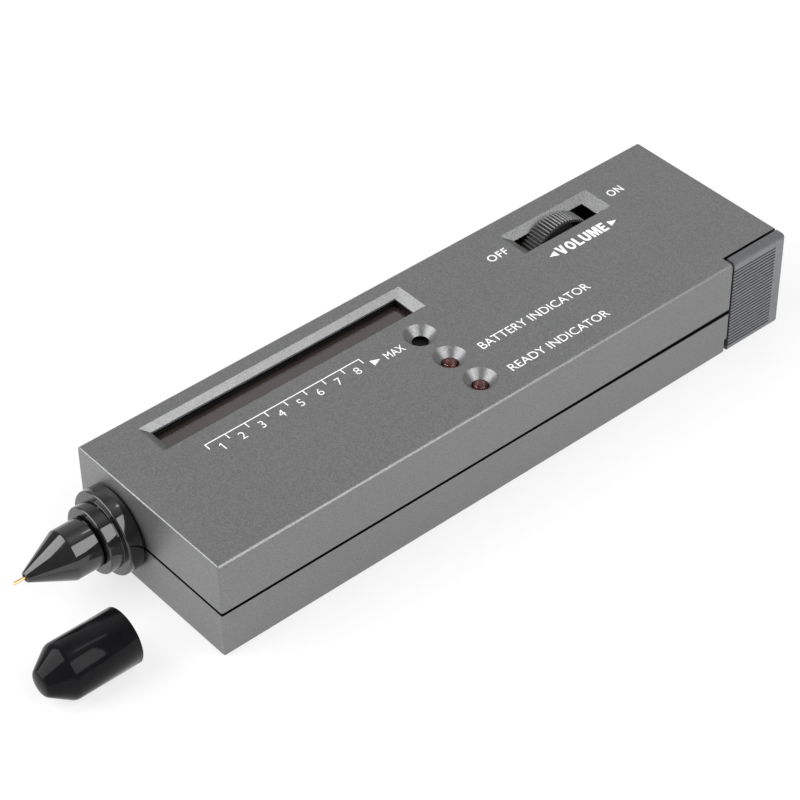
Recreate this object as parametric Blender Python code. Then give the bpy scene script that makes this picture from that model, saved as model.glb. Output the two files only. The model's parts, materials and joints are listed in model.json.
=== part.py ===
"""Hand-held diamond tester, one object for each piece.

Metres, +Z up. The origin is the centre of the case's underside. The probe points
to -X, the battery end lies at +X, and the side with the ribbed cover faces -Y.
"""

import math

import bmesh
import bpy
from mathutils import Matrix, Vector

# Fits, and how far a cutter reaches past the face that it opens
FIT_GAP = 0.0003
OVERRUN = 0.0010
WELD_DISTANCE = 0.0000001
EDGE_TOLERANCE = 0.000001

# Directions
UP = (0, 0, 1)
ACROSS = (0, 1, 0)
BACKWARD = (1, 0, 0)
OUTWARD = (-1, 0, 0)

# Facets round a full turn, and along a rounded edge
LARGE_ROUND = 40
MEDIUM_ROUND = 20
SMALL_ROUND = 12
EDGE_FACETS = 3
DOME_FACETS = 4

# Angles past which an edge is drawn as a crease
ROUND_CREASE = math.radians(40)
CASE_CREASE = math.radians(50)
CONE_CREASE = math.radians(25)

# Battery: a 9 V block, which the case is built round
BATTERY_LENGTH = 0.0455
BATTERY_WIDTH = 0.0260
BATTERY_HEIGHT = 0.0170
BATTERY_EDGE = 0.0012
TERMINAL_HEIGHT = 0.0030
TERMINAL_SPACING = 0.0127
STUD_RADIUS = 0.00285
CROWN_RADIUS = 0.0044
CONTACT_WALL = 0.0007

# Battery snap
SNAP_ROOM = 0.0049
SNAP_THICKNESS = 0.0022
SNAP_WIDTH = 0.0240
SNAP_HEIGHT = 0.0125
LEAD_RADIUS = 0.00065
LEAD_SPACING = 0.0040
LEAD_NOTCH_WIDTH = 0.0090
LEAD_NOTCH_DEPTH = 0.0040

# Case walls and rooms
WALL = 0.0020
PARTITION = 0.0008
BAY_FRONT_WALL = 0.0012
BAY_HEADROOM = 0.0010
BAY_SIDE_CLEARANCE = 0.0004
BAY_END_CLEARANCE = 0.0004
PARTING_HEIGHT = 0.01035
PARTING_GAP = 0.0006
LIP_THICKNESS = 0.0007
LIP_HEIGHT = 0.0020
TOP_EDGE_RADIUS = 0.0008
BOTTOM_EDGE_RADIUS = 0.0006
END_EDGE_RADIUS = 0.00035

# Battery cover
COVER_WALL = 0.0022
COVER_WING_LENGTH = 0.0142
COVER_WING_THICKNESS = 0.00215
COVER_GAP = 0.0006
COVER_SIDE_GAP = 0.00055
COVER_RELIEF_LENGTH = 0.0006
COVER_RELIEF_HEIGHT = 0.0035
COVER_RELIEF_DEPTH = 0.0011
COVER_TONGUE = 0.00085
COVER_TONGUE_REACH = 0.0060
COVER_EDGE_RADIUS = 0.0009
GRIP_PITCH = 0.00077
GRIP_WIDTH = 0.00048
GRIP_DEPTH = 0.00042
GRIP_BOTTOM = 0.0010
GRIP_TOP_MARGIN = 0.0018
GRIP_END_MARGIN = 0.0025

# Thumbwheel and what turns with it
WHEEL_RADIUS = 0.0088
WHEEL_WIDTH = 0.0038
WHEEL_PROUD = 0.0007
WHEEL_FROM_REAR = 0.0309
WHEEL_RIB_PITCH = 0.00079
WHEEL_RIB_DEPTH = 0.00058
WHEEL_RIB_TOP_SHARE = 0.45
WHEEL_SIDE_GAP = 0.00045
HUB_RECESS_RADIUS = 0.0030
HUB_RECESS_DEPTH = 0.0012
WEB_INNER_RADIUS = 0.0042
WEB_OUTER_RADIUS = 0.0072
WEB_RECESS_DEPTH = 0.0010
SHAFT_RADIUS = 0.0016
WHEEL_SCREW_HEAD_RADIUS = 0.0024
WHEEL_SCREW_HEAD_HEIGHT = 0.0008
WHEEL_SCREW_RADIUS = 0.0007
WHEEL_SCREW_LENGTH = 0.0030

# Potentiometer on its upright board
POTENTIOMETER_RADIUS = 0.0056
POTENTIOMETER_THICKNESS = 0.0020
POTENTIOMETER_GAP = 0.00075
VOLUME_BOARD_LENGTH = 0.0200
VOLUME_BOARD_THICKNESS = 0.0012
VOLUME_BOARD_BACK_GAP = 0.00035
VOLUME_BOARD_HEADROOM = 0.0004
GUIDE_WALL = 0.0012
GUIDE_LIP = 0.0016
GUIDE_LIP_THICKNESS = 0.0010

# Slot over the thumbwheel, with bevelled sides like the display's
SLOT_LENGTH = 0.01855
SLOT_SIDE_GAP = 0.0003
SLOT_END_RUN = 0.0024
SLOT_SIDE_RUN = 0.0015
RECESS_DEPTH = 0.0015

# Display
DISPLAY_FROM_FRONT = 0.0110
DISPLAY_FROM_FAR = 0.00355
DISPLAY_LENGTH = 0.0623
DISPLAY_WIDTH = 0.0079
ROOM_BEHIND_DISPLAY = 0.0105
DISPLAY_END_RUN = 0.00225
DISPLAY_SIDE_RUN = 0.00145
DISPLAY_RIM = 0.0006
DISPLAY_RIM_LAP = 0.0010
WINDOW_THICKNESS = 0.0009
WINDOW_LAP = 0.0011
BAR_INSET = 0.0064
BAR_ROW_OVERHANG = 0.0005
BAR_PITCH = 0.0045
BAR_LENGTH = 0.0034
BAR_WIDTH = 0.0038
BAR_HOUSING_WALL = 0.0008
BAR_HOUSING_END = 0.0010
BAR_FOOT_HEIGHT = 0.0012
BARS_PER_MODULE = 4

# Countersunk holes: the buzzer's and two lamps'
HOLES_BEFORE_DISPLAY_END = 0.0065
HOLE_ROW_FROM_NEAR = 0.0073
HOLE_PITCH = 0.00843
HOLE_RADIUS = 0.00165
HOLE_RIM_RADIUS = 0.0033
LAMP_RADIUS = 0.0015
LAMP_FLANGE_RADIUS = 0.0019
LAMP_FLANGE_HEIGHT = 0.0009
LAMP_SINK = 0.0011
BUZZER_RADIUS = 0.0048
BUZZER_HEADROOM = 0.0011
BUZZER_PORT_RADIUS = 0.0008
BUZZER_PORT_DEPTH = 0.0012

# Main board, its parts and its screws
BOARD_THICKNESS = 0.0016
BOARD_FROM_FRONT = 0.0125
BOARD_SIDE_GAP = 0.00095
BOARD_REAR_GAP = 0.0004
BOSS_RADIUS = 0.0022
BOARD_SCREW_RADIUS = 0.0008
BOARD_SCREW_LENGTH = 0.0046
BOARD_SCREW_HEAD_RADIUS = 0.0017
BOARD_SCREW_HEAD_HEIGHT = 0.0011
BOARD_SCREW_INSET = 0.0030
BOARD_BOSS_OFFSET = 0.0040
REAR_BOSS_SETBACK = 0.0062
CHIP_LENGTH = 0.0193
CHIP_WIDTH = 0.0066
CHIP_HEIGHT = 0.0034
CHIP_FROM_FRONT = 0.0275
CHIP_PITCH = 0.0215
CHIP_LINE = 0.0030
CAPACITOR_RADIUS = 0.0025
CAPACITOR_HEIGHT = 0.0045
CAPACITOR_FROM_FRONT = 0.0235
CAPACITOR_PITCH = 0.0100
CAPACITOR_LINE = 0.0125
TRIMMER_SIZE = 0.0064
TRIMMER_HEIGHT = 0.0044
TRIMMER_BEFORE_HOLES = 0.0108
RESISTOR_RADIUS = 0.0009
RESISTOR_WAIST = 0.00075
RESISTOR_LENGTH = 0.0050
RESISTOR_FROM_FRONT = 0.0225
RESISTOR_PITCH = 0.0055
RESISTOR_COUNT = 5
RESISTOR_LINE = 0.0052

# Stiffening ribs across the floor
FLOOR_RIB_COUNT = 4
FLOOR_RIB_HEIGHT = 0.0014
FLOOR_RIB_THICKNESS = 0.0010

# Screws and posts that join the case halves
POST_RADIUS = 0.0030
POST_INSET = 0.0003
SCREW_RADIUS = 0.0011
SCREW_LENGTH = 0.0120
SCREW_HEAD_RADIUS = 0.0020
SCREW_HEAD_HEIGHT = 0.0016
SCREW_SEAT_HEIGHT = 0.0050
SCREW_END_ROOM = 0.0008
FRONT_POST_FROM_FRONT = 0.0080
FRONT_POST_FROM_NEAR = 0.00725
MIDDLE_POST_FROM_BAY = 0.0053
MIDDLE_POST_FROM_NEAR = 0.00675
FAR_POST_FROM_REAR = 0.0105
FAR_POST_PITCH = 0.0385

# Probe: collar, barrel and cone, measured outwards from the case's front face
NOSE_FROM_FAR = 0.01109
COLLAR_RADIUS = 0.00856
COLLAR_LENGTH = 0.0033
STEP_RADIUS = 0.0068
STEP_LENGTH = 0.00285
STEP_EDGE = 0.00035
NECK_RADIUS = 0.0052
INNER_FLANGE_RADIUS = 0.0070
INNER_FLANGE_THICKNESS = 0.0015
STEM_RADIUS = 0.0040
STEM_TAIL = 0.0022
BARREL_RADIUS = 0.00505
BARREL_LENGTH = 0.00525
CONE_LENGTH = 0.0084
CONE_END_RADIUS = 0.0010
CONE_TIP_ROUND = 0.0004
SHOULDER_ROUND = 0.0006
PIN_RADIUS = 0.00031
PIN_REACH = 0.0024
PIN_POINT = 0.0003
PROBE_BORE_RADIUS = 0.0017
SHANK_LENGTH = 0.0063
SHANK_SETBACK = 0.0050
NUT_RADIUS = 0.0063
NUT_THICKNESS = 0.0018
NUT_SIDES = 6
PLUG_HEAD_RADIUS = 0.0032
PLUG_HEAD_THICKNESS = 0.0012
PLUG_STEM_LENGTH = 0.0043
HEATER_RADIUS = 0.0007
HEATER_LENGTH = 0.0016
SPRING_WIRE_RADIUS = 0.00016
SPRING_TURNS = 8
SPRING_STEPS = 12
PROBE_LEAD_RADIUS = 0.00035
PROBE_LEAD_SPACING = 0.0010
PROBE_LEAD_RUN = 0.0100
PROBE_LEAD_COUNT = 3

# Protective cap, lying beside the probe with its closed end away from the case
CAP_WALL = 0.0004
CAP_CLEARANCE = 0.00015
CAP_LENGTH = 0.0184
CAP_CONE_LENGTH = 0.0049
CAP_END_RADIUS = 0.0024
CAP_END_ROUND = 0.0009
CAP_FROM_FRONT = 0.0130
CAP_FROM_NEAR = 0.01145

# Thin wires to the volume board
SIGNAL_LEAD_RADIUS = 0.0004
SIGNAL_LEAD_PITCH = 0.0012
SIGNAL_LEAD_COUNT = 3
SIGNAL_LEAD_INSET = 0.0007
LEAD_STEPS = 4

# The case follows from the battery, the wheel's stack and the display
TONGUE_ROOM = COVER_TONGUE + 2 * FIT_GAP
WHEEL_ROOM = (
    WHEEL_SIDE_GAP + WHEEL_WIDTH + POTENTIOMETER_GAP + POTENTIOMETER_THICKNESS
    + FIT_GAP + VOLUME_BOARD_THICKNESS + VOLUME_BOARD_BACK_GAP
)
CASE_WIDTH = 2 * WALL + TONGUE_ROOM + BATTERY_WIDTH + BAY_SIDE_CLEARANCE + PARTITION + WHEEL_ROOM
CASE_HEIGHT = 2 * WALL + BATTERY_HEIGHT + BAY_HEADROOM
BAY_LENGTH = SNAP_ROOM + TERMINAL_HEIGHT + BATTERY_LENGTH + BAY_END_CLEARANCE
ELECTRONICS_ROOM = DISPLAY_FROM_FRONT + DISPLAY_LENGTH + ROOM_BEHIND_DISPLAY - WALL
CASE_LENGTH = WALL + ELECTRONICS_ROOM + BAY_FRONT_WALL + BAY_LENGTH + COVER_WALL

FRONT = -CASE_LENGTH / 2
REAR = CASE_LENGTH / 2
NEAR = -CASE_WIDTH / 2
FAR = CASE_WIDTH / 2
INNER_FRONT = FRONT + WALL
INNER_REAR = REAR - WALL
INNER_NEAR = NEAR + WALL
INNER_FAR = FAR - WALL
FLOOR = WALL
CEILING = CASE_HEIGHT - WALL
LOWER_TOP = PARTING_HEIGHT - PARTING_GAP / 2
UPPER_BOTTOM = PARTING_HEIGHT + PARTING_GAP / 2
LIP_TOP = LOWER_TOP + LIP_HEIGHT
UPPER_INNER_BOTTOM = LIP_TOP + FIT_GAP

BAY_WALL_FRONT = INNER_FRONT + ELECTRONICS_ROOM
BAY_FRONT = BAY_WALL_FRONT + BAY_FRONT_WALL
BATTERY_FRONT = BAY_FRONT + SNAP_ROOM + TERMINAL_HEIGHT
BATTERY_REAR = BATTERY_FRONT + BATTERY_LENGTH
BATTERY_NEAR = INNER_NEAR + TONGUE_ROOM
BATTERY_FAR = BATTERY_NEAR + BATTERY_WIDTH
BATTERY_BOTTOM = FLOOR + FIT_GAP
BATTERY_TOP = BATTERY_BOTTOM + BATTERY_HEIGHT
BATTERY_MIDDLE_Y = (BATTERY_NEAR + BATTERY_FAR) / 2
BATTERY_MIDDLE_Z = (BATTERY_BOTTOM + BATTERY_TOP) / 2
PARTITION_NEAR = BATTERY_FAR + BAY_SIDE_CLEARANCE
PARTITION_FAR = PARTITION_NEAR + PARTITION
WING_NOTCH_FRONT = REAR - COVER_WING_LENGTH - COVER_GAP
TERMINAL_FRONT = BATTERY_FRONT - TERMINAL_HEIGHT
TERMINAL_BACK = BATTERY_FRONT - FIT_GAP

WHEEL_X = REAR - WHEEL_FROM_REAR
WHEEL_Z = CASE_HEIGHT + WHEEL_PROUD - WHEEL_RADIUS
WHEEL_NEAR = PARTITION_FAR + WHEEL_SIDE_GAP
WHEEL_FAR = WHEEL_NEAR + WHEEL_WIDTH
POTENTIOMETER_NEAR = WHEEL_FAR + POTENTIOMETER_GAP
POTENTIOMETER_FAR = POTENTIOMETER_NEAR + POTENTIOMETER_THICKNESS
VOLUME_BOARD_NEAR = POTENTIOMETER_FAR + FIT_GAP
VOLUME_BOARD_FAR = VOLUME_BOARD_NEAR + VOLUME_BOARD_THICKNESS
VOLUME_BOARD_FRONT = WHEEL_X - VOLUME_BOARD_LENGTH / 2
VOLUME_BOARD_REAR = WHEEL_X + VOLUME_BOARD_LENGTH / 2

BOARD_BOTTOM = UPPER_INNER_BOTTOM
BOARD_TOP = BOARD_BOTTOM + BOARD_THICKNESS
BOARD_FRONT = FRONT + BOARD_FROM_FRONT
BOARD_REAR = BAY_WALL_FRONT - BOARD_REAR_GAP
BOARD_NEAR = INNER_NEAR + BOARD_SIDE_GAP
BOARD_FAR = INNER_FAR - BOARD_SIDE_GAP
PARTS_BOTTOM = BOARD_TOP + FIT_GAP

DISPLAY_FRONT = FRONT + DISPLAY_FROM_FRONT
DISPLAY_REAR = DISPLAY_FRONT + DISPLAY_LENGTH
DISPLAY_FAR = FAR - DISPLAY_FROM_FAR
DISPLAY_NEAR = DISPLAY_FAR - DISPLAY_WIDTH
DISPLAY_MIDDLE_Y = (DISPLAY_NEAR + DISPLAY_FAR) / 2
DISPLAY_BOTTOM = CEILING - DISPLAY_RIM
WINDOW_TOP = DISPLAY_BOTTOM - FIT_GAP
WINDOW_BOTTOM = WINDOW_TOP - WINDOW_THICKNESS
BAR_FRONT = DISPLAY_FRONT + DISPLAY_END_RUN + BAR_INSET
BAR_COUNT = int((DISPLAY_REAR + BAR_ROW_OVERHANG - BAR_FRONT) / BAR_PITCH)

HOLE_X = DISPLAY_REAR - HOLES_BEFORE_DISPLAY_END
READY_LAMP_Y = NEAR + HOLE_ROW_FROM_NEAR
BATTERY_LAMP_Y = READY_LAMP_Y + HOLE_PITCH
BUZZER_Y = BATTERY_LAMP_Y + HOLE_PITCH

CHIP_ROW_FRONT = FRONT + CHIP_FROM_FRONT - CHIP_LENGTH / 2
CHIP_COUNT = int((HOLE_X - BUZZER_RADIUS - CHIP_ROW_FRONT) / CHIP_PITCH)
TRIMMER_X = HOLE_X - TRIMMER_BEFORE_HOLES
CAPACITOR_ROW_FRONT = FRONT + CAPACITOR_FROM_FRONT - CAPACITOR_RADIUS
CAPACITOR_COUNT = int((TRIMMER_X - TRIMMER_SIZE / 2 - CAPACITOR_ROW_FRONT) / CAPACITOR_PITCH)

FAR_POST_Y = PARTITION_FAR + POST_RADIUS + POST_INSET
MIDDLE_POST = (BAY_WALL_FRONT - MIDDLE_POST_FROM_BAY, NEAR + MIDDLE_POST_FROM_NEAR)
CASE_POSTS = (
    (FRONT + FRONT_POST_FROM_FRONT, NEAR + FRONT_POST_FROM_NEAR),
    MIDDLE_POST,
    (REAR - FAR_POST_FROM_REAR, FAR_POST_Y),
    (REAR - FAR_POST_FROM_REAR - FAR_POST_PITCH, FAR_POST_Y),
)
BOARD_BOSSES = (
    (BOARD_FRONT + BOARD_SCREW_INSET, BOARD_NEAR + BOARD_SCREW_INSET),
    (BOARD_FRONT + BOARD_SCREW_INSET, BOARD_BOSS_OFFSET),
    (BOARD_REAR - REAR_BOSS_SETBACK, BOARD_FAR - BOARD_SCREW_INSET),
)
SCREW_HOLE_RADIUS = SCREW_RADIUS + FIT_GAP
SCREW_RECESS_RADIUS = SCREW_HEAD_RADIUS + FIT_GAP
SCREW_HEAD_TOP = SCREW_SEAT_HEIGHT - FIT_GAP
SCREW_END = SCREW_HEAD_TOP + SCREW_LENGTH
BOARD_SCREW_HOLE_RADIUS = BOARD_SCREW_RADIUS + FIT_GAP

NOSE_Y = FAR - NOSE_FROM_FAR
NOSE_ORIGIN = (FRONT, NOSE_Y, PARTING_HEIGHT)
COLLAR_FRONT = FIT_GAP + COLLAR_LENGTH
STEP_FRONT = COLLAR_FRONT + STEP_LENGTH
NECK_HOLE_RADIUS = NECK_RADIUS + FIT_GAP
INNER_FLANGE_FRONT = -WALL - FIT_GAP
INNER_FLANGE_BACK = INNER_FLANGE_FRONT - INNER_FLANGE_THICKNESS
BARREL_BACK = STEP_FRONT + FIT_GAP
BARREL_FRONT = BARREL_BACK + BARREL_LENGTH
CONE_FRONT = BARREL_FRONT + CONE_LENGTH
PIN_END = CONE_FRONT + PIN_REACH
BORE_END = CONE_FRONT - SHANK_SETBACK
NUT_FRONT = INNER_FLANGE_BACK - FIT_GAP
NUT_BACK = NUT_FRONT - NUT_THICKNESS
STEM_BACK = INNER_FLANGE_BACK - STEM_TAIL
PLUG_HEAD_FRONT = STEM_BACK - FIT_GAP
PLUG_HEAD_BACK = PLUG_HEAD_FRONT - PLUG_HEAD_THICKNESS
PLUG_STEM_FRONT = PLUG_HEAD_FRONT + PLUG_STEM_LENGTH
PLUG_STEM_RADIUS = PROBE_BORE_RADIUS - FIT_GAP
SHANK_FRONT = BORE_END - FIT_GAP
SHANK_BACK = SHANK_FRONT - SHANK_LENGTH
SHANK_RADIUS = PROBE_BORE_RADIUS - FIT_GAP
SPRING_FRONT = SHANK_BACK - FIT_GAP - SPRING_WIRE_RADIUS
SPRING_BACK = PLUG_STEM_FRONT + FIT_GAP + SPRING_WIRE_RADIUS
SPRING_RADIUS = SHANK_RADIUS - SPRING_WIRE_RADIUS

CAP_INNER_RADIUS = BARREL_RADIUS + CAP_CLEARANCE
CAP_RADIUS = CAP_INNER_RADIUS + CAP_WALL
CAP_RIM = (FRONT - CAP_FROM_FRONT, NEAR + CAP_FROM_NEAR, CAP_RADIUS)


def clear_scene():
    """Start from an empty scene."""
    for old in list(bpy.data.objects):
        bpy.data.objects.remove(old, do_unlink=True)


def frame_along(origin, axis):
    """Matrix that puts local +Z along axis, starting at origin."""
    turn = Vector(UP).rotation_difference(Vector(axis)).to_matrix().to_4x4()
    return Matrix.Translation(Vector(origin)) @ turn


def add_box(bm, low, high):
    """Closed box between two corners."""
    size = [top - bottom for bottom, top in zip(low, high)]
    middle = [(bottom + top) / 2 for bottom, top in zip(low, high)]
    matrix = Matrix.Translation(middle) @ Matrix.Diagonal((*size, 1))
    return bmesh.ops.create_cube(bm, size=1, matrix=matrix)["verts"]


def add_cylinder(bm, origin, axis, radius, length, facets):
    """Closed cylinder that starts at origin and runs along axis."""
    matrix = frame_along(origin, axis) @ Matrix.Translation((0, 0, length / 2))
    bmesh.ops.create_cone(
        bm, cap_ends=True, segments=facets, radius1=radius, radius2=radius, depth=length, matrix=matrix
    )


def add_turned(bm, profile, frame, facets):
    """Revolve (radius, height) points about the frame's Z axis."""
    closed = profile[0] == profile[-1]
    points = profile[:-1] if closed else profile
    verts = [bm.verts.new((radius, 0, height)) for radius, height in points]
    pairs = list(zip(verts, verts[1:]))
    if closed:
        pairs.append((verts[-1], verts[0]))
    edges = [bm.edges.new(pair) for pair in pairs]
    old = set(bm.verts) - set(verts)
    bmesh.ops.spin(
        bm, geom=verts + edges, cent=(0, 0, 0), axis=UP, angle=math.tau, steps=facets, use_merge=True
    )
    made = [vert for vert in bm.verts if vert not in old]
    bmesh.ops.transform(bm, matrix=frame, verts=made)
    bmesh.ops.remove_doubles(bm, verts=made, dist=WELD_DISTANCE)


def add_loft(bm, loops):
    """Closed solid through loops that have the same number of points."""
    rings = [[bm.verts.new(point) for point in loop] for loop in loops]
    for first, second in zip(rings, rings[1:]):
        for index in range(len(first)):
            following = (index + 1) % len(first)
            bm.faces.new((first[index], first[following], second[following], second[index]))
    bm.faces.new(rings[0])
    bm.faces.new(list(reversed(rings[-1])))


def add_prism(bm, outline, place, low, high):
    """Extrude a flat outline; place turns a point and a level into a corner."""
    add_loft(bm, [[place(point, level) for point in outline] for level in (low, high)])


def on_plan(point, level):
    """Outline in X and Y, extruded up."""
    return (point[0], point[1], level)


def on_section(point, level):
    """Outline in Y and Z, extruded along X."""
    return (level, point[0], point[1])


def arc(centre, radius, start, end, facets=EDGE_FACETS):
    """Points along an arc, in degrees."""
    angles = [math.radians(start + (end - start) * step / facets) for step in range(facets + 1)]
    return [(centre[0] + radius * math.cos(a), centre[1] + radius * math.sin(a)) for a in angles]


def round_edges(bm, chosen, radius):
    """Round the edges for which chosen(edge) is true."""
    edges = [edge for edge in bm.edges if chosen(edge)]
    bmesh.ops.bevel(
        bm, geom=edges, offset=radius, offset_type="OFFSET", segments=EDGE_FACETS, profile=0.5,
        affect="EDGES", clamp_overlap=True,
    )


def all_at(edge, axis, value):
    """Whether both ends of an edge lie at value along axis."""
    return all(abs(vert.co[axis] - value) < EDGE_TOLERANCE for vert in edge.verts)


def lengthwise(edge):
    """Whether an edge runs along X."""
    start, end = (vert.co for vert in edge.verts)
    return (end - start).yz.length < EDGE_TOLERANCE


def mesh_object(name, bm, origin=(0, 0, 0)):
    """Object with its origin where asked and its mesh left in place."""
    bmesh.ops.recalc_face_normals(bm, faces=bm.faces)
    bmesh.ops.translate(bm, vec=-Vector(origin), verts=bm.verts)
    mesh = bpy.data.meshes.new(name)
    bm.to_mesh(mesh)
    bm.free()
    made = bpy.data.objects.new(name, mesh)
    made.location = origin
    bpy.context.scene.collection.objects.link(made)
    return made


def finish(made, colour, roughness, metallic=0.0):
    """Give a piece its own surface."""
    material = bpy.data.materials.new(made.name)
    material.use_nodes = True
    shader = material.node_tree.nodes["Principled BSDF"]
    shader.inputs["Base Color"].default_value = (*colour, 1)
    shader.inputs["Roughness"].default_value = roughness
    shader.inputs["Metallic"].default_value = metallic
    made.data.materials.append(material)
    return made


def smooth(made, angle=ROUND_CREASE):
    """Shade a round piece smooth up to a crease angle."""
    made.data.shade_smooth()
    made.data.set_sharp_from_angle(angle=angle)
    return made


def combine(target, name, bm, operation):
    """Add or cut a solid with a Boolean that stays on the piece."""
    guide = mesh_object(f"{target.name}_{name}", bm)
    guide.hide_render = True
    guide.display_type = "WIRE"
    modifier = target.modifiers.new(name, "BOOLEAN")
    modifier.operation = operation
    modifier.solver = "EXACT"
    modifier.object = guide


def carry(parent, *children):
    """Parent pieces that move with another, leaving them in place."""
    for child in children:
        child.parent = parent
        child.matrix_parent_inverse = Matrix.Translation(-parent.location)


def smooth_path(points, steps=LEAD_STEPS):
    """Catmull-Rom curve through the given points."""
    guide = [Vector(point) for point in (points[0], *points, points[-1])]
    path = []
    for before, start, end, after in zip(guide, guide[1:], guide[2:], guide[3:]):
        for step in range(steps):
            t = step / steps
            path.append((
                2 * start + (end - before) * t
                + (2 * before - 5 * start + 4 * end - after) * t ** 2
                + (3 * start - before - 3 * end + after) * t ** 3
            ) / 2)
    path.append(guide[-1])
    return path


def wire(name, route, radius, resolution=1):
    """Round wire along a route, with closed ends."""
    curve = bpy.data.curves.new(name, "CURVE")
    curve.dimensions = "3D"
    curve.bevel_depth = radius
    curve.bevel_resolution = resolution
    curve.use_fill_caps = True
    spline = curve.splines.new("POLY")
    spline.points.add(len(route) - 1)
    for point, corner in zip(spline.points, route):
        point.co = (*corner, 1)
    made = bpy.data.objects.new(name, curve)
    bpy.context.scene.collection.objects.link(made)
    return made


def tapered_opening(low, high, end_run, side_run, bottom):
    """Cutter with sides that lean in from the panel's face, then drop straight."""
    def rectangle(grow, level):
        long, wide = end_run * grow, side_run * grow
        return [
            (low[0] - long, low[1] - wide, level), (high[0] + long, low[1] - wide, level),
            (high[0] + long, high[1] + wide, level), (low[0] - long, high[1] + wide, level),
        ]

    bm = bmesh.new()
    past = OVERRUN / RECESS_DEPTH
    add_loft(bm, [
        rectangle(1 + past, CASE_HEIGHT + OVERRUN),
        rectangle(0, CASE_HEIGHT - RECESS_DEPTH),
        rectangle(0, bottom - OVERRUN),
    ])
    return bm


def shell_section(bottom, top, bottom_radius, top_radius):
    """Outer YZ outline of a case half; a radius of zero leaves the corner square."""
    corners = (
        (NEAR, bottom, 180, bottom_radius), (FAR, bottom, 270, bottom_radius),
        (FAR, top, 0, top_radius), (NEAR, top, 90, top_radius),
    )
    outline = []
    for y, z, start, radius in corners:
        if radius:
            inward_y = radius if y == NEAR else -radius
            inward_z = radius if z == bottom else -radius
            outline += arc((y + inward_y, z + inward_z), radius, start, start + 90)
        else:
            outline.append((y, z))
    return outline


def shell_block(name, bottom, top, bottom_radius, top_radius):
    """Case half before it is hollowed: rounded section with rounded ends."""
    bm = bmesh.new()
    add_prism(bm, shell_section(bottom, top, bottom_radius, top_radius), on_section, FRONT, REAR)
    parting = top if bottom_radius else bottom

    def on_end(edge):
        at_end = all_at(edge, 0, FRONT) or all_at(edge, 0, REAR)
        return at_end and not all_at(edge, 2, parting)

    round_edges(bm, on_end, END_EDGE_RADIUS)
    return smooth(mesh_object(name, bm), CASE_CREASE)


def rear_opening():
    """Cutter for the battery bay's mouth and the cover's wing, shared by both halves."""
    bm = bmesh.new()
    notch_far = NEAR + COVER_WING_THICKNESS + COVER_SIDE_GAP
    bay_rear = REAR - COVER_WALL - FIT_GAP
    outline = [
        (WING_NOTCH_FRONT, NEAR - OVERRUN), (REAR + OVERRUN, NEAR - OVERRUN),
        (REAR + OVERRUN, notch_far), (WING_NOTCH_FRONT, notch_far),
    ]
    add_prism(bm, outline, on_plan, -OVERRUN, CASE_HEIGHT + OVERRUN)
    mouth = bmesh.new()
    add_box(mouth, (bay_rear, INNER_NEAR, FLOOR), (REAR + OVERRUN, PARTITION_NEAR, CEILING))
    return bm, mouth


def bay_walls(bm, low, high):
    """L-shaped wall round the front and far sides of the battery bay."""
    outline = [
        (BAY_WALL_FRONT, INNER_NEAR - WALL / 2), (BAY_FRONT, INNER_NEAR - WALL / 2),
        (BAY_FRONT, PARTITION_NEAR), (INNER_REAR + WALL / 2, PARTITION_NEAR),
        (INNER_REAR + WALL / 2, PARTITION_FAR), (BAY_WALL_FRONT, PARTITION_FAR),
    ]
    add_prism(bm, outline, on_plan, low, high)


def nose_hole():
    """Cutter for the collar's neck, half in each shell."""
    bm = bmesh.new()
    start = (INNER_FRONT + OVERRUN, NOSE_Y, PARTING_HEIGHT)
    add_cylinder(bm, start, OUTWARD, NECK_HOLE_RADIUS, WALL + 2 * OVERRUN, LARGE_ROUND)
    return bm


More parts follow.
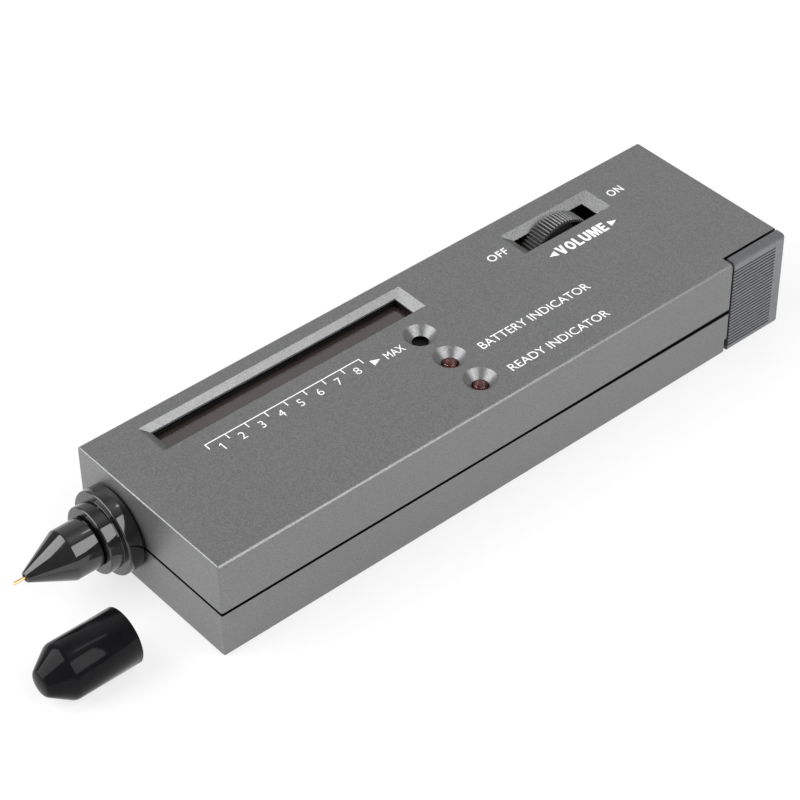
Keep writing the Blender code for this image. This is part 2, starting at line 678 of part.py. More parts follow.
def make_upper_shell():
    """Upper half of the case, with every opening in the panel."""
    shell = shell_block("upper_shell", UPPER_BOTTOM, CASE_HEIGHT, 0, TOP_EDGE_RADIUS)

    hollow = bmesh.new()
    add_box(hollow, (INNER_FRONT, INNER_NEAR, UPPER_BOTTOM - OVERRUN), (INNER_REAR, INNER_FAR, CEILING))
    combine(shell, "hollow", hollow, "DIFFERENCE")
    rebate = bmesh.new()
    reach = LIP_THICKNESS + FIT_GAP
    add_box(
        rebate, (INNER_FRONT - reach, INNER_NEAR - reach, UPPER_BOTTOM - OVERRUN),
        (INNER_REAR + reach, INNER_FAR + reach, UPPER_INNER_BOTTOM),
    )
    combine(shell, "rebate", rebate, "DIFFERENCE")

    walls = bmesh.new()
    bay_walls(walls, UPPER_INNER_BOTTOM, CEILING + WALL / 4)
    combine(shell, "bay_walls", walls, "UNION")
    rim = bmesh.new()
    lap = DISPLAY_RIM_LAP
    add_box(
        rim, (DISPLAY_FRONT - lap, DISPLAY_NEAR - lap, DISPLAY_BOTTOM),
        (DISPLAY_REAR + lap, DISPLAY_FAR + lap, CEILING + WALL / 4),
    )
    combine(shell, "display_rim", rim, "UNION")
    bosses = bmesh.new()
    for x, y in CASE_POSTS:
        bottom = PARTS_BOTTOM if (x, y) == MIDDLE_POST else UPPER_INNER_BOTTOM
        add_cylinder(bosses, (x, y, bottom), UP, POST_RADIUS, CEILING + WALL / 4 - bottom, MEDIUM_ROUND)
    for x, y in BOARD_BOSSES:
        length = CEILING + WALL / 4 - PARTS_BOTTOM
        add_cylinder(bosses, (x, y, PARTS_BOTTOM), UP, BOSS_RADIUS, length, MEDIUM_ROUND)
    combine(shell, "bosses", bosses, "UNION")

    pilots = bmesh.new()
    for x, y in CASE_POSTS:
        length = SCREW_END + SCREW_END_ROOM - BOARD_BOTTOM + OVERRUN
        add_cylinder(
            pilots, (x, y, BOARD_BOTTOM - OVERRUN), UP, SCREW_HOLE_RADIUS, length, SMALL_ROUND
        )
    for x, y in BOARD_BOSSES:
        length = BOARD_SCREW_LENGTH - BOARD_THICKNESS + OVERRUN
        add_cylinder(
            pilots, (x, y, PARTS_BOTTOM - OVERRUN), UP, BOARD_SCREW_HOLE_RADIUS, length, SMALL_ROUND
        )
    combine(shell, "pilots", pilots, "DIFFERENCE")

    display_low = (DISPLAY_FRONT + DISPLAY_END_RUN, DISPLAY_NEAR + DISPLAY_SIDE_RUN)
    display_high = (DISPLAY_REAR - DISPLAY_END_RUN, DISPLAY_FAR - DISPLAY_SIDE_RUN)
    display = tapered_opening(display_low, display_high, DISPLAY_END_RUN, DISPLAY_SIDE_RUN, DISPLAY_BOTTOM)
    combine(shell, "display", display, "DIFFERENCE")
    slot_low = (WHEEL_X - SLOT_LENGTH / 2, WHEEL_NEAR - SLOT_SIDE_GAP)
    slot_high = (WHEEL_X + SLOT_LENGTH / 2, WHEEL_FAR + SLOT_SIDE_GAP)
    slot = tapered_opening(slot_low, slot_high, SLOT_END_RUN, SLOT_SIDE_RUN, CEILING)
    combine(shell, "wheel_slot", slot, "DIFFERENCE")

    holes = bmesh.new()
    sink = HOLE_RIM_RADIUS - HOLE_RADIUS
    for y in (READY_LAMP_Y, BATTERY_LAMP_Y, BUZZER_Y):
        profile = [
            (0, OVERRUN), (HOLE_RIM_RADIUS + OVERRUN, OVERRUN), (HOLE_RADIUS, -sink),
            (HOLE_RADIUS, -WALL - OVERRUN), (0, -WALL - OVERRUN),
        ]
        add_turned(holes, profile, frame_along((HOLE_X, y, CASE_HEIGHT), UP), LARGE_ROUND)
    combine(shell, "holes", holes, "DIFFERENCE")

    combine(shell, "nose_hole", nose_hole(), "DIFFERENCE")
    wing_notch, mouth = rear_opening()
    combine(shell, "wing_notch", wing_notch, "DIFFERENCE")
    combine(shell, "bay_mouth", mouth, "DIFFERENCE")
    return finish(shell, (0.20, 0.20, 0.20), 0.42, 0.55)


def make_lower_shell():
    """Lower half of the case: floor, lip, posts and the battery bay."""
    shell = shell_block("lower_shell", 0, LOWER_TOP, BOTTOM_EDGE_RADIUS, 0)

    lip = bmesh.new()
    add_box(
        lip, (INNER_FRONT - LIP_THICKNESS, INNER_NEAR - LIP_THICKNESS, LOWER_TOP - WALL),
        (INNER_REAR + LIP_THICKNESS, INNER_FAR + LIP_THICKNESS, LIP_TOP),
    )
    combine(shell, "lip", lip, "UNION")
    hollow = bmesh.new()
    add_box(hollow, (INNER_FRONT, INNER_NEAR, FLOOR), (INNER_REAR, INNER_FAR, LIP_TOP + OVERRUN))
    combine(shell, "hollow", hollow, "DIFFERENCE")

    walls = bmesh.new()
    bay_walls(walls, FLOOR / 2, LIP_TOP)
    combine(shell, "bay_walls", walls, "UNION")
    posts = bmesh.new()
    for x, y in CASE_POSTS:
        add_cylinder(posts, (x, y, FLOOR / 2), UP, POST_RADIUS, LIP_TOP - FLOOR / 2, MEDIUM_ROUND)
    combine(shell, "posts", posts, "UNION")
    ribs = bmesh.new()
    for index in range(FLOOR_RIB_COUNT):
        x = INNER_FRONT + ELECTRONICS_ROOM * (index + 1) / (FLOOR_RIB_COUNT + 1)
        half = FLOOR_RIB_THICKNESS / 2
        add_box(
            ribs, (x - half, INNER_NEAR - WALL / 4, FLOOR / 2),
            (x + half, INNER_FAR + WALL / 4, FLOOR + FLOOR_RIB_HEIGHT),
        )
    combine(shell, "floor_ribs", ribs, "UNION")
    guides = bmesh.new()
    guide_near = VOLUME_BOARD_NEAR - FIT_GAP - GUIDE_LIP_THICKNESS
    for end, outward in ((VOLUME_BOARD_FRONT, -1), (VOLUME_BOARD_REAR, 1)):
        stop = end + outward * FIT_GAP
        outline = [
            (stop + outward * GUIDE_WALL, INNER_FAR + WALL / 4),
            (stop + outward * GUIDE_WALL, guide_near),
            (stop - outward * GUIDE_LIP, guide_near),
            (stop - outward * GUIDE_LIP, guide_near + GUIDE_LIP_THICKNESS),
            (stop, guide_near + GUIDE_LIP_THICKNESS),
            (stop, INNER_FAR + WALL / 4),
        ]
        add_prism(guides, outline, on_plan, FLOOR / 2, LOWER_TOP - OVERRUN)
    combine(shell, "board_guides", guides, "UNION")

    bores = bmesh.new()
    for x, y in CASE_POSTS:
        profile = [
            (0, -OVERRUN), (SCREW_RECESS_RADIUS, -OVERRUN), (SCREW_RECESS_RADIUS, SCREW_SEAT_HEIGHT),
            (SCREW_HOLE_RADIUS, SCREW_SEAT_HEIGHT), (SCREW_HOLE_RADIUS, LIP_TOP + OVERRUN),
            (0, LIP_TOP + OVERRUN),
        ]
        add_turned(bores, profile, frame_along((x, y, 0), UP), MEDIUM_ROUND)
    combine(shell, "screw_bores", bores, "DIFFERENCE")
    notch = bmesh.new()
    add_box(
        notch,
        (BAY_WALL_FRONT - OVERRUN, BATTERY_MIDDLE_Y - LEAD_NOTCH_WIDTH / 2, LIP_TOP - LEAD_NOTCH_DEPTH),
        (BAY_FRONT + OVERRUN, BATTERY_MIDDLE_Y + LEAD_NOTCH_WIDTH / 2, LIP_TOP + OVERRUN),
    )
    combine(shell, "lead_notch", notch, "DIFFERENCE")
    relief = bmesh.new()
    add_box(
        relief, (WING_NOTCH_FRONT - COVER_RELIEF_LENGTH, NEAR - OVERRUN, -OVERRUN),
        (WING_NOTCH_FRONT + OVERRUN, NEAR + COVER_RELIEF_DEPTH, COVER_RELIEF_HEIGHT),
    )
    combine(shell, "cover_relief", relief, "DIFFERENCE")

    combine(shell, "nose_hole", nose_hole(), "DIFFERENCE")
    wing_notch, mouth = rear_opening()
    combine(shell, "wing_notch", wing_notch, "DIFFERENCE")
    combine(shell, "bay_mouth", mouth, "DIFFERENCE")
    return finish(shell, (0.20, 0.20, 0.20), 0.42, 0.55)


def make_battery_cover():
    """Ribbed corner wing with the bay's rear wall and a tongue that slides behind the side wall."""
    wing_front = REAR - COVER_WING_LENGTH
    wing_far = NEAR + COVER_WING_THICKNESS
    bm = bmesh.new()
    outline = arc((NEAR + BOTTOM_EDGE_RADIUS, BOTTOM_EDGE_RADIUS), BOTTOM_EDGE_RADIUS, 180, 270)
    outline += [(wing_far, 0), (wing_far, CASE_HEIGHT)]
    outline += arc((NEAR + TOP_EDGE_RADIUS, CASE_HEIGHT - TOP_EDGE_RADIUS), TOP_EDGE_RADIUS, 90, 180)
    add_prism(bm, outline, on_section, wing_front, REAR)
    round_edges(bm, lambda edge: all_at(edge, 0, REAR) and not all_at(edge, 1, wing_far), COVER_EDGE_RADIUS)
    cover = smooth(mesh_object("battery_cover", bm, (REAR, BATTERY_MIDDLE_Y, BATTERY_MIDDLE_Z)))

    tongue_near = INNER_NEAR + FIT_GAP
    tongue_far = tongue_near + COVER_TONGUE
    root_front = wing_front + COVER_GAP
    wall_front = REAR - COVER_WALL
    plan = [
        (wing_front - COVER_TONGUE_REACH, tongue_near), (root_front, tongue_near),
        (root_front, wing_far - COVER_WING_THICKNESS / 2), (REAR - COVER_EDGE_RADIUS, wing_far - WALL / 2),
        (REAR - COVER_EDGE_RADIUS, wing_far), (REAR, wing_far), (REAR, PARTITION_NEAR - FIT_GAP),
        (wall_front, PARTITION_NEAR - FIT_GAP), (wall_front, tongue_far),
        (wing_front - COVER_TONGUE_REACH, tongue_far),
    ]
    inner = bmesh.new()
    add_prism(inner, plan, on_plan, FLOOR + FIT_GAP, CEILING - FIT_GAP)
    combine(cover, "rear_wall", inner, "UNION")

    grooves = bmesh.new()
    grip_top = CASE_HEIGHT - GRIP_TOP_MARGIN
    count = int((grip_top - GRIP_BOTTOM) / GRIP_PITCH)
    for index in range(count):
        z = GRIP_BOTTOM + (index + 0.5) * GRIP_PITCH
        mouth = GRIP_WIDTH / 2 * (1 + OVERRUN / GRIP_DEPTH)
        outline = [(NEAR - OVERRUN, z - mouth), (NEAR + GRIP_DEPTH, z), (NEAR - OVERRUN, z + mouth)]
        add_prism(grooves, outline, on_section, wing_front - OVERRUN, REAR - GRIP_END_MARGIN)
    combine(cover, "grip", grooves, "DIFFERENCE")
    return finish(cover, (0.09, 0.095, 0.105), 0.5)


def make_display():
    """Tinted window, the light-proof housing under it and its segments."""
    low = (DISPLAY_FRONT + DISPLAY_END_RUN - WINDOW_LAP, DISPLAY_NEAR + DISPLAY_SIDE_RUN - WINDOW_LAP)
    high = (DISPLAY_REAR - DISPLAY_END_RUN + WINDOW_LAP, DISPLAY_FAR - DISPLAY_SIDE_RUN + WINDOW_LAP)
    bm = bmesh.new()
    add_box(bm, (*low, WINDOW_BOTTOM), (*high, WINDOW_TOP))
    finish(mesh_object("display_window", bm), (0.10, 0.035, 0.03), 0.12)

    top = WINDOW_BOTTOM - FIT_GAP
    half = BAR_WIDTH / 2
    pocket = half + FIT_GAP
    housing_half = pocket + BAR_HOUSING_WALL
    row_end = BAR_FRONT + BAR_COUNT * BAR_PITCH
    bm = bmesh.new()
    add_box(
        bm, (BAR_FRONT - BAR_HOUSING_END, DISPLAY_MIDDLE_Y - housing_half, PARTS_BOTTOM),
        (row_end + BAR_HOUSING_END, DISPLAY_MIDDLE_Y + housing_half, top),
    )
    housing = mesh_object("bar_housing", bm)
    foot_top = PARTS_BOTTOM + BAR_FOOT_HEIGHT
    pockets = bmesh.new()
    for index in range(BAR_COUNT):
        x = BAR_FRONT + (index + 0.5) * BAR_PITCH
        reach = BAR_LENGTH / 2 + FIT_GAP
        add_box(
            pockets, (x - reach, DISPLAY_MIDDLE_Y - pocket, foot_top),
            (x + reach, DISPLAY_MIDDLE_Y + pocket, top + OVERRUN),
        )
    combine(housing, "pockets", pockets, "DIFFERENCE")
    channel = bmesh.new()
    add_box(
        channel, (BAR_FRONT, DISPLAY_MIDDLE_Y - pocket, PARTS_BOTTOM - OVERRUN),
        (row_end, DISPLAY_MIDDLE_Y + pocket, foot_top + FIT_GAP),
    )
    combine(housing, "channel", channel, "DIFFERENCE")
    finish(housing, (0.03, 0.03, 0.03), 0.6)
    for start in range(0, BAR_COUNT, BARS_PER_MODULE):
        stop = min(start + BARS_PER_MODULE, BAR_COUNT)
        make_light_bar(start, stop, foot_top, top)


def make_light_bar(start, stop, foot_top, top):
    """Light module: one foot with a raised segment for each bar."""
    half = BAR_WIDTH / 2
    bm = bmesh.new()
    add_box(
        bm, (BAR_FRONT + start * BAR_PITCH + FIT_GAP, DISPLAY_MIDDLE_Y - half, PARTS_BOTTOM),
        (BAR_FRONT + stop * BAR_PITCH - FIT_GAP, DISPLAY_MIDDLE_Y + half, foot_top),
    )
    bar = mesh_object(f"light_bar_{start // BARS_PER_MODULE + 1}", bm)
    segments = bmesh.new()
    for index in range(start, stop):
        x = BAR_FRONT + (index + 0.5) * BAR_PITCH
        add_box(
            segments, (x - BAR_LENGTH / 2, DISPLAY_MIDDLE_Y - half, foot_top - BAR_FOOT_HEIGHT / 2),
            (x + BAR_LENGTH / 2, DISPLAY_MIDDLE_Y + half, top),
        )
    combine(bar, "segments", segments, "UNION")
    finish(bar, (0.45, 0.10, 0.08), 0.3)


def make_lamp(name, y):
    """Round lamp with a flange at its foot and a domed top."""
    top = CASE_HEIGHT - LAMP_SINK
    dome = arc((0, top - LAMP_RADIUS), LAMP_RADIUS, 0, 90, DOME_FACETS)[:-1]
    flange_top = PARTS_BOTTOM + LAMP_FLANGE_HEIGHT
    profile = [
        (0, PARTS_BOTTOM), (LAMP_FLANGE_RADIUS, PARTS_BOTTOM), (LAMP_FLANGE_RADIUS, flange_top),
        (LAMP_RADIUS, flange_top), *dome, (0, top),
    ]
    bm = bmesh.new()
    add_turned(bm, profile, Matrix.Translation((HOLE_X, y, 0)), MEDIUM_ROUND)
    return finish(smooth(mesh_object(name, bm)), (0.35, 0.03, 0.02), 0.08)


def make_buzzer():
    """Round buzzer with its sound port under the panel's hole."""
    top = CEILING - BUZZER_HEADROOM
    profile = [
        (0, PARTS_BOTTOM), (BUZZER_RADIUS, PARTS_BOTTOM), (BUZZER_RADIUS, top), (BUZZER_PORT_RADIUS, top),
        (BUZZER_PORT_RADIUS, top - BUZZER_PORT_DEPTH), (0, top - BUZZER_PORT_DEPTH),
    ]
    bm = bmesh.new()
    add_turned(bm, profile, Matrix.Translation((HOLE_X, BUZZER_Y, 0)), MEDIUM_ROUND)
    return finish(smooth(mesh_object("buzzer", bm)), (0.02, 0.02, 0.02), 0.5)


def wheel_outline():
    """Points round the ribbed rim: each rib has a flat top and a V behind it."""
    count = int(math.tau * WHEEL_RADIUS / WHEEL_RIB_PITCH)
    step = math.tau / count
    outline = []
    for index in range(count):
        start = index * step
        for radius, share in (
            (WHEEL_RADIUS, 0), (WHEEL_RADIUS, WHEEL_RIB_TOP_SHARE),
            (WHEEL_RADIUS - WHEEL_RIB_DEPTH, (1 + WHEEL_RIB_TOP_SHARE) / 2),
        ):
            angle = start + share * step
            outline.append((WHEEL_X + radius * math.cos(angle), WHEEL_Z + radius * math.sin(angle)))
    return outline


def make_wheel():
    """Ribbed thumbwheel with the spindle and screw that turn with it."""
    axis_point = (WHEEL_X, (WHEEL_NEAR + WHEEL_FAR) / 2, WHEEL_Z)
    across = frame_along((WHEEL_X, WHEEL_NEAR, WHEEL_Z), ACROSS)
    bm = bmesh.new()
    add_prism(bm, wheel_outline(), lambda point, level: (point[0], level, point[1]), WHEEL_NEAR, WHEEL_FAR)
    wheel = mesh_object("volume_wheel", bm, axis_point)
    bore_radius = SHAFT_RADIUS + FIT_GAP
    hub = bmesh.new()
    add_turned(hub, [
        (0, -OVERRUN), (HUB_RECESS_RADIUS, -OVERRUN), (HUB_RECESS_RADIUS, HUB_RECESS_DEPTH),
        (bore_radius, HUB_RECESS_DEPTH), (bore_radius, WHEEL_WIDTH + OVERRUN), (0, WHEEL_WIDTH + OVERRUN),
    ], across, MEDIUM_ROUND)
    combine(wheel, "hub", hub, "DIFFERENCE")
    web = bmesh.new()
    add_turned(web, [
        (WEB_INNER_RADIUS, -OVERRUN), (WEB_OUTER_RADIUS, -OVERRUN), (WEB_OUTER_RADIUS, WEB_RECESS_DEPTH),
        (WEB_INNER_RADIUS, WEB_RECESS_DEPTH), (WEB_INNER_RADIUS, -OVERRUN),
    ], across, MEDIUM_ROUND)
    combine(wheel, "web", web, "DIFFERENCE")
    finish(wheel, (0.10, 0.10, 0.10), 0.45)

    head_back = HUB_RECESS_DEPTH - FIT_GAP
    head_front = head_back - WHEEL_SCREW_HEAD_HEIGHT
    screw_end = head_back + WHEEL_SCREW_LENGTH
    bm = bmesh.new()
    add_turned(bm, [
        (0, head_front), (WHEEL_SCREW_HEAD_RADIUS, head_front), (WHEEL_SCREW_HEAD_RADIUS, head_back),
        (WHEEL_SCREW_RADIUS, head_back), (WHEEL_SCREW_RADIUS, screw_end), (0, screw_end),
    ], across, MEDIUM_ROUND)
    screw = finish(smooth(mesh_object("wheel_screw", bm, axis_point)), (0.6, 0.6, 0.6), 0.3, 1.0)

    shaft_front = HUB_RECESS_DEPTH
    shaft_back = POTENTIOMETER_FAR - WHEEL_NEAR
    hole_radius = WHEEL_SCREW_RADIUS + FIT_GAP
    hole_end = screw_end + FIT_GAP
    bm = bmesh.new()
    add_turned(bm, [
        (hole_radius, shaft_front), (SHAFT_RADIUS, shaft_front), (SHAFT_RADIUS, shaft_back),
        (0, shaft_back), (0, hole_end), (hole_radius, hole_end), (hole_radius, shaft_front),
    ], across, MEDIUM_ROUND)
    shaft = finish(smooth(mesh_object("wheel_shaft", bm, axis_point)), (0.7, 0.7, 0.68), 0.4)
    carry(wheel, screw, shaft)


def make_volume_board():
    """Upright board with the potentiometer that the wheel turns."""
    bm = bmesh.new()
    add_box(
        bm, (VOLUME_BOARD_FRONT, VOLUME_BOARD_NEAR, FLOOR + FIT_GAP),
        (VOLUME_BOARD_REAR, VOLUME_BOARD_FAR, CEILING - VOLUME_BOARD_HEADROOM),
    )
    finish(mesh_object("volume_board", bm), (0.05, 0.18, 0.08), 0.5)

    bore_radius = SHAFT_RADIUS + FIT_GAP
    bm = bmesh.new()
    add_turned(bm, [
        (bore_radius, 0), (POTENTIOMETER_RADIUS, 0), (POTENTIOMETER_RADIUS, POTENTIOMETER_THICKNESS),
        (bore_radius, POTENTIOMETER_THICKNESS), (bore_radius, 0),
    ], frame_along((WHEEL_X, POTENTIOMETER_NEAR, WHEEL_Z), ACROSS), MEDIUM_ROUND)
    finish(smooth(mesh_object("potentiometer", bm)), (0.45, 0.40, 0.30), 0.5)

    middle_y = (VOLUME_BOARD_NEAR + VOLUME_BOARD_FAR) / 2
    start_x = VOLUME_BOARD_FRONT - FIT_GAP
    end_y = BOARD_FAR - SIGNAL_LEAD_PITCH
    for index in range(SIGNAL_LEAD_COUNT):
        z = PARTS_BOTTOM + (index + 1) * SIGNAL_LEAD_PITCH
        end_x = BOARD_REAR - SIGNAL_LEAD_INSET - index * SIGNAL_LEAD_PITCH
        route = smooth_path([
            (start_x, middle_y, z), ((start_x * 3 + end_x) / 4, middle_y, z),
            ((start_x + end_x * 3) / 4, (middle_y + end_y) / 2, z),
            (end_x + SIGNAL_LEAD_RADIUS, end_y, (z * 3 + PARTS_BOTTOM) / 4), (end_x, end_y, PARTS_BOTTOM),
        ])
        finish(wire(f"volume_lead_{index + 1}", route, SIGNAL_LEAD_RADIUS), (0.35, 0.35, 0.33), 0.5)


def make_board():
    """Main circuit board with the parts that stand on it and the screws that hold it."""
    bm = bmesh.new()
    add_box(bm, (BOARD_FRONT, BOARD_NEAR, BOARD_BOTTOM), (BOARD_REAR, BOARD_FAR, BOARD_TOP))
    board = mesh_object("circuit_board", bm)
    holes = bmesh.new()
    drilled = [(place, BOARD_SCREW_HOLE_RADIUS) for place in BOARD_BOSSES]
    drilled.append((MIDDLE_POST, SCREW_HOLE_RADIUS))
    for place, radius in drilled:
        start = (*place, BOARD_BOTTOM - OVERRUN)
        add_cylinder(holes, start, UP, radius, BOARD_THICKNESS + 2 * OVERRUN, SMALL_ROUND)
    combine(board, "holes", holes, "DIFFERENCE")
    finish(board, (0.05, 0.18, 0.08), 0.5)

    for index in range(CHIP_COUNT):
        x = FRONT + CHIP_FROM_FRONT + index * CHIP_PITCH
        bm = bmesh.new()
        add_box(
            bm, (x - CHIP_LENGTH / 2, -CHIP_LINE - CHIP_WIDTH / 2, PARTS_BOTTOM),
            (x + CHIP_LENGTH / 2, -CHIP_LINE + CHIP_WIDTH / 2, PARTS_BOTTOM + CHIP_HEIGHT),
        )
        finish(mesh_object(f"board_chip_{index + 1}", bm), (0.02, 0.02, 0.02), 0.5)

    for index in range(CAPACITOR_COUNT):
        x = FRONT + CAPACITOR_FROM_FRONT + index * CAPACITOR_PITCH
        bm = bmesh.new()
        add_cylinder(
            bm, (x, -CAPACITOR_LINE, PARTS_BOTTOM), UP, CAPACITOR_RADIUS, CAPACITOR_HEIGHT, MEDIUM_ROUND
        )
        finish(smooth(mesh_object(f"board_capacitor_{index + 1}", bm)), (0.03, 0.04, 0.12), 0.4)

    bm = bmesh.new()
    x = TRIMMER_X
    half = TRIMMER_SIZE / 2
    add_box(
        bm, (x - half, -CAPACITOR_LINE - half, PARTS_BOTTOM),
        (x + half, -CAPACITOR_LINE + half, PARTS_BOTTOM + TRIMMER_HEIGHT),
    )
    finish(mesh_object("calibration_trimmer", bm), (0.05, 0.15, 0.45), 0.4)

    cap = RESISTOR_LENGTH / 4
    for index in range(RESISTOR_COUNT):
        x = FRONT + RESISTOR_FROM_FRONT + index * RESISTOR_PITCH
        origin = (x, RESISTOR_LINE - RESISTOR_LENGTH / 2, PARTS_BOTTOM + RESISTOR_RADIUS)
        bm = bmesh.new()
        add_turned(bm, [
            (0, 0), (RESISTOR_RADIUS, 0), (RESISTOR_RADIUS, cap), (RESISTOR_WAIST, cap + FIT_GAP),
            (RESISTOR_WAIST, RESISTOR_LENGTH - cap - FIT_GAP), (RESISTOR_RADIUS, RESISTOR_LENGTH - cap),
            (RESISTOR_RADIUS, RESISTOR_LENGTH), (0, RESISTOR_LENGTH),
        ], frame_along(origin, ACROSS), SMALL_ROUND)
        finish(smooth(mesh_object(f"board_resistor_{index + 1}", bm)), (0.55, 0.42, 0.25), 0.5)

    head_top = BOARD_BOTTOM - FIT_GAP
    for index, place in enumerate(BOARD_BOSSES):
        make_screw(
            f"board_screw_{index + 1}", place, head_top, BOARD_SCREW_HEAD_RADIUS, BOARD_SCREW_HEAD_HEIGHT,
            BOARD_SCREW_RADIUS, BOARD_SCREW_LENGTH - FIT_GAP,
        )


def make_screw(name, place, head_top, head_radius, head_height, radius, length):
    """Pan-head screw that points up from its head."""
    bm = bmesh.new()
    add_turned(bm, [
        (0, head_top - head_height), (head_radius, head_top - head_height), (head_radius, head_top),
        (radius, head_top), (radius, head_top + length), (0, head_top + length),
    ], Matrix.Translation((*place, 0)), SMALL_ROUND)
    finish(smooth(mesh_object(name, bm)), (0.55, 0.55, 0.55), 0.35, 1.0)


def make_case_screws():
    """Screws that enter from the underside and join the case halves."""
    for index, place in enumerate(CASE_POSTS):
        make_screw(
            f"case_screw_{index + 1}", place, SCREW_HEAD_TOP, SCREW_HEAD_RADIUS, SCREW_HEAD_HEIGHT,
            SCREW_RADIUS, SCREW_LENGTH,
        )


def make_battery():
    """Block battery, its two terminals, the snap with its contacts, and the two leads."""
    bm = bmesh.new()
    add_box(bm, (BATTERY_FRONT, BATTERY_NEAR, BATTERY_BOTTOM), (BATTERY_REAR, BATTERY_FAR, BATTERY_TOP))
    round_edges(bm, lengthwise, BATTERY_EDGE)
    finish(mesh_object("battery", bm), (0.30, 0.28, 0.25), 0.35, 0.4)

    stud_y = BATTERY_MIDDLE_Y - TERMINAL_SPACING / 2
    crown_y = BATTERY_MIDDLE_Y + TERMINAL_SPACING / 2
    terminal_length = TERMINAL_BACK - TERMINAL_FRONT
    crown_bore = STUD_RADIUS + CONTACT_WALL / 4
    bm = bmesh.new()
    add_cylinder(
        bm, (TERMINAL_FRONT, stud_y, BATTERY_MIDDLE_Z), BACKWARD, STUD_RADIUS, terminal_length, MEDIUM_ROUND
    )
    finish(smooth(mesh_object("battery_stud", bm)), (0.7, 0.68, 0.62), 0.3, 1.0)
    bm = bmesh.new()
    add_turned(bm, [
        (crown_bore, 0), (CROWN_RADIUS, 0), (CROWN_RADIUS, terminal_length), (0, terminal_length),
        (0, terminal_length - CONTACT_WALL), (crown_bore, terminal_length - CONTACT_WALL), (crown_bore, 0),
    ], frame_along((TERMINAL_FRONT, crown_y, BATTERY_MIDDLE_Z), BACKWARD), MEDIUM_ROUND)
    finish(smooth(mesh_object("battery_socket", bm)), (0.7, 0.68, 0.62), 0.3, 1.0)

    snap_back = TERMINAL_FRONT - CONTACT_WALL - 2 * FIT_GAP
    snap_front = snap_back - SNAP_THICKNESS
    bm = bmesh.new()
    add_box(
        bm, (snap_front, BATTERY_MIDDLE_Y - SNAP_WIDTH / 2, BATTERY_MIDDLE_Z - SNAP_HEIGHT / 2),
        (snap_back, BATTERY_MIDDLE_Y + SNAP_WIDTH / 2, BATTERY_MIDDLE_Z + SNAP_HEIGHT / 2),
    )
    round_edges(bm, lengthwise, BATTERY_EDGE)
    finish(mesh_object("battery_snap", bm), (0.02, 0.02, 0.02), 0.6)

    contact_front = snap_back + FIT_GAP
    cup_bore = STUD_RADIUS + FIT_GAP
    cup_depth = contact_front + CONTACT_WALL
    cup_end = TERMINAL_BACK - CONTACT_WALL
    stud_end = TERMINAL_BACK - CONTACT_WALL - FIT_GAP
    bm = bmesh.new()
    add_turned(bm, [
        (0, contact_front), (cup_bore + CONTACT_WALL, contact_front), (cup_bore + CONTACT_WALL, cup_end),
        (cup_bore, cup_end), (cup_bore, cup_depth), (0, cup_depth),
    ], frame_along((0, stud_y, BATTERY_MIDDLE_Z), BACKWARD), MEDIUM_ROUND)
    finish(smooth(mesh_object("snap_socket", bm)), (0.7, 0.68, 0.62), 0.3, 1.0)
    bm = bmesh.new()
    add_cylinder(
        bm, (contact_front, crown_y, BATTERY_MIDDLE_Z), BACKWARD, crown_bore - FIT_GAP,
        stud_end - contact_front, MEDIUM_ROUND,
    )
    finish(smooth(mesh_object("snap_stud", bm)), (0.7, 0.68, 0.62), 0.3, 1.0)

    notch_bottom = LIP_TOP - LEAD_NOTCH_DEPTH
    run_z = notch_bottom + LEAD_RADIUS + FIT_GAP
    end_z = BOARD_BOTTOM - FIT_GAP
    end_x = MIDDLE_POST[0]
    for name, side, colour in (
        ("battery_lead_red", -1, (0.5, 0.02, 0.02)), ("battery_lead_black", 1, (0.02, 0.02, 0.02)),
    ):
        y = BATTERY_MIDDLE_Y + side * LEAD_SPACING / 2
        route = smooth_path([
            (snap_front - FIT_GAP, y, BATTERY_MIDDLE_Z), (BAY_FRONT, y, (BATTERY_MIDDLE_Z + run_z) / 2),
            (BAY_WALL_FRONT, y, run_z), ((BAY_WALL_FRONT + end_x) / 2, y, run_z), (end_x, y, end_z),
        ])
        finish(wire(name, route, LEAD_RADIUS), colour, 0.5)


def make_collar():
    """Stepped collar that grips the front wall with a neck between two flanges."""
    edge = STEP_EDGE
    profile = [
        (STEM_RADIUS + FIT_GAP, STEP_FRONT), (STEP_RADIUS - edge, STEP_FRONT),
        (STEP_RADIUS, STEP_FRONT - edge), (STEP_RADIUS, COLLAR_FRONT), (COLLAR_RADIUS - edge, COLLAR_FRONT),
        (COLLAR_RADIUS, COLLAR_FRONT - edge), (COLLAR_RADIUS, FIT_GAP), (NECK_RADIUS, FIT_GAP),
        (NECK_RADIUS, INNER_FLANGE_FRONT), (INNER_FLANGE_RADIUS, INNER_FLANGE_FRONT),
        (INNER_FLANGE_RADIUS, INNER_FLANGE_BACK), (STEM_RADIUS + FIT_GAP, INNER_FLANGE_BACK),
        (STEM_RADIUS + FIT_GAP, STEP_FRONT),
    ]
    bm = bmesh.new()
    add_turned(bm, profile, frame_along(NOSE_ORIGIN, OUTWARD), LARGE_ROUND)
    finish(smooth(mesh_object("nose_collar", bm)), (0.012, 0.012, 0.014), 0.12)


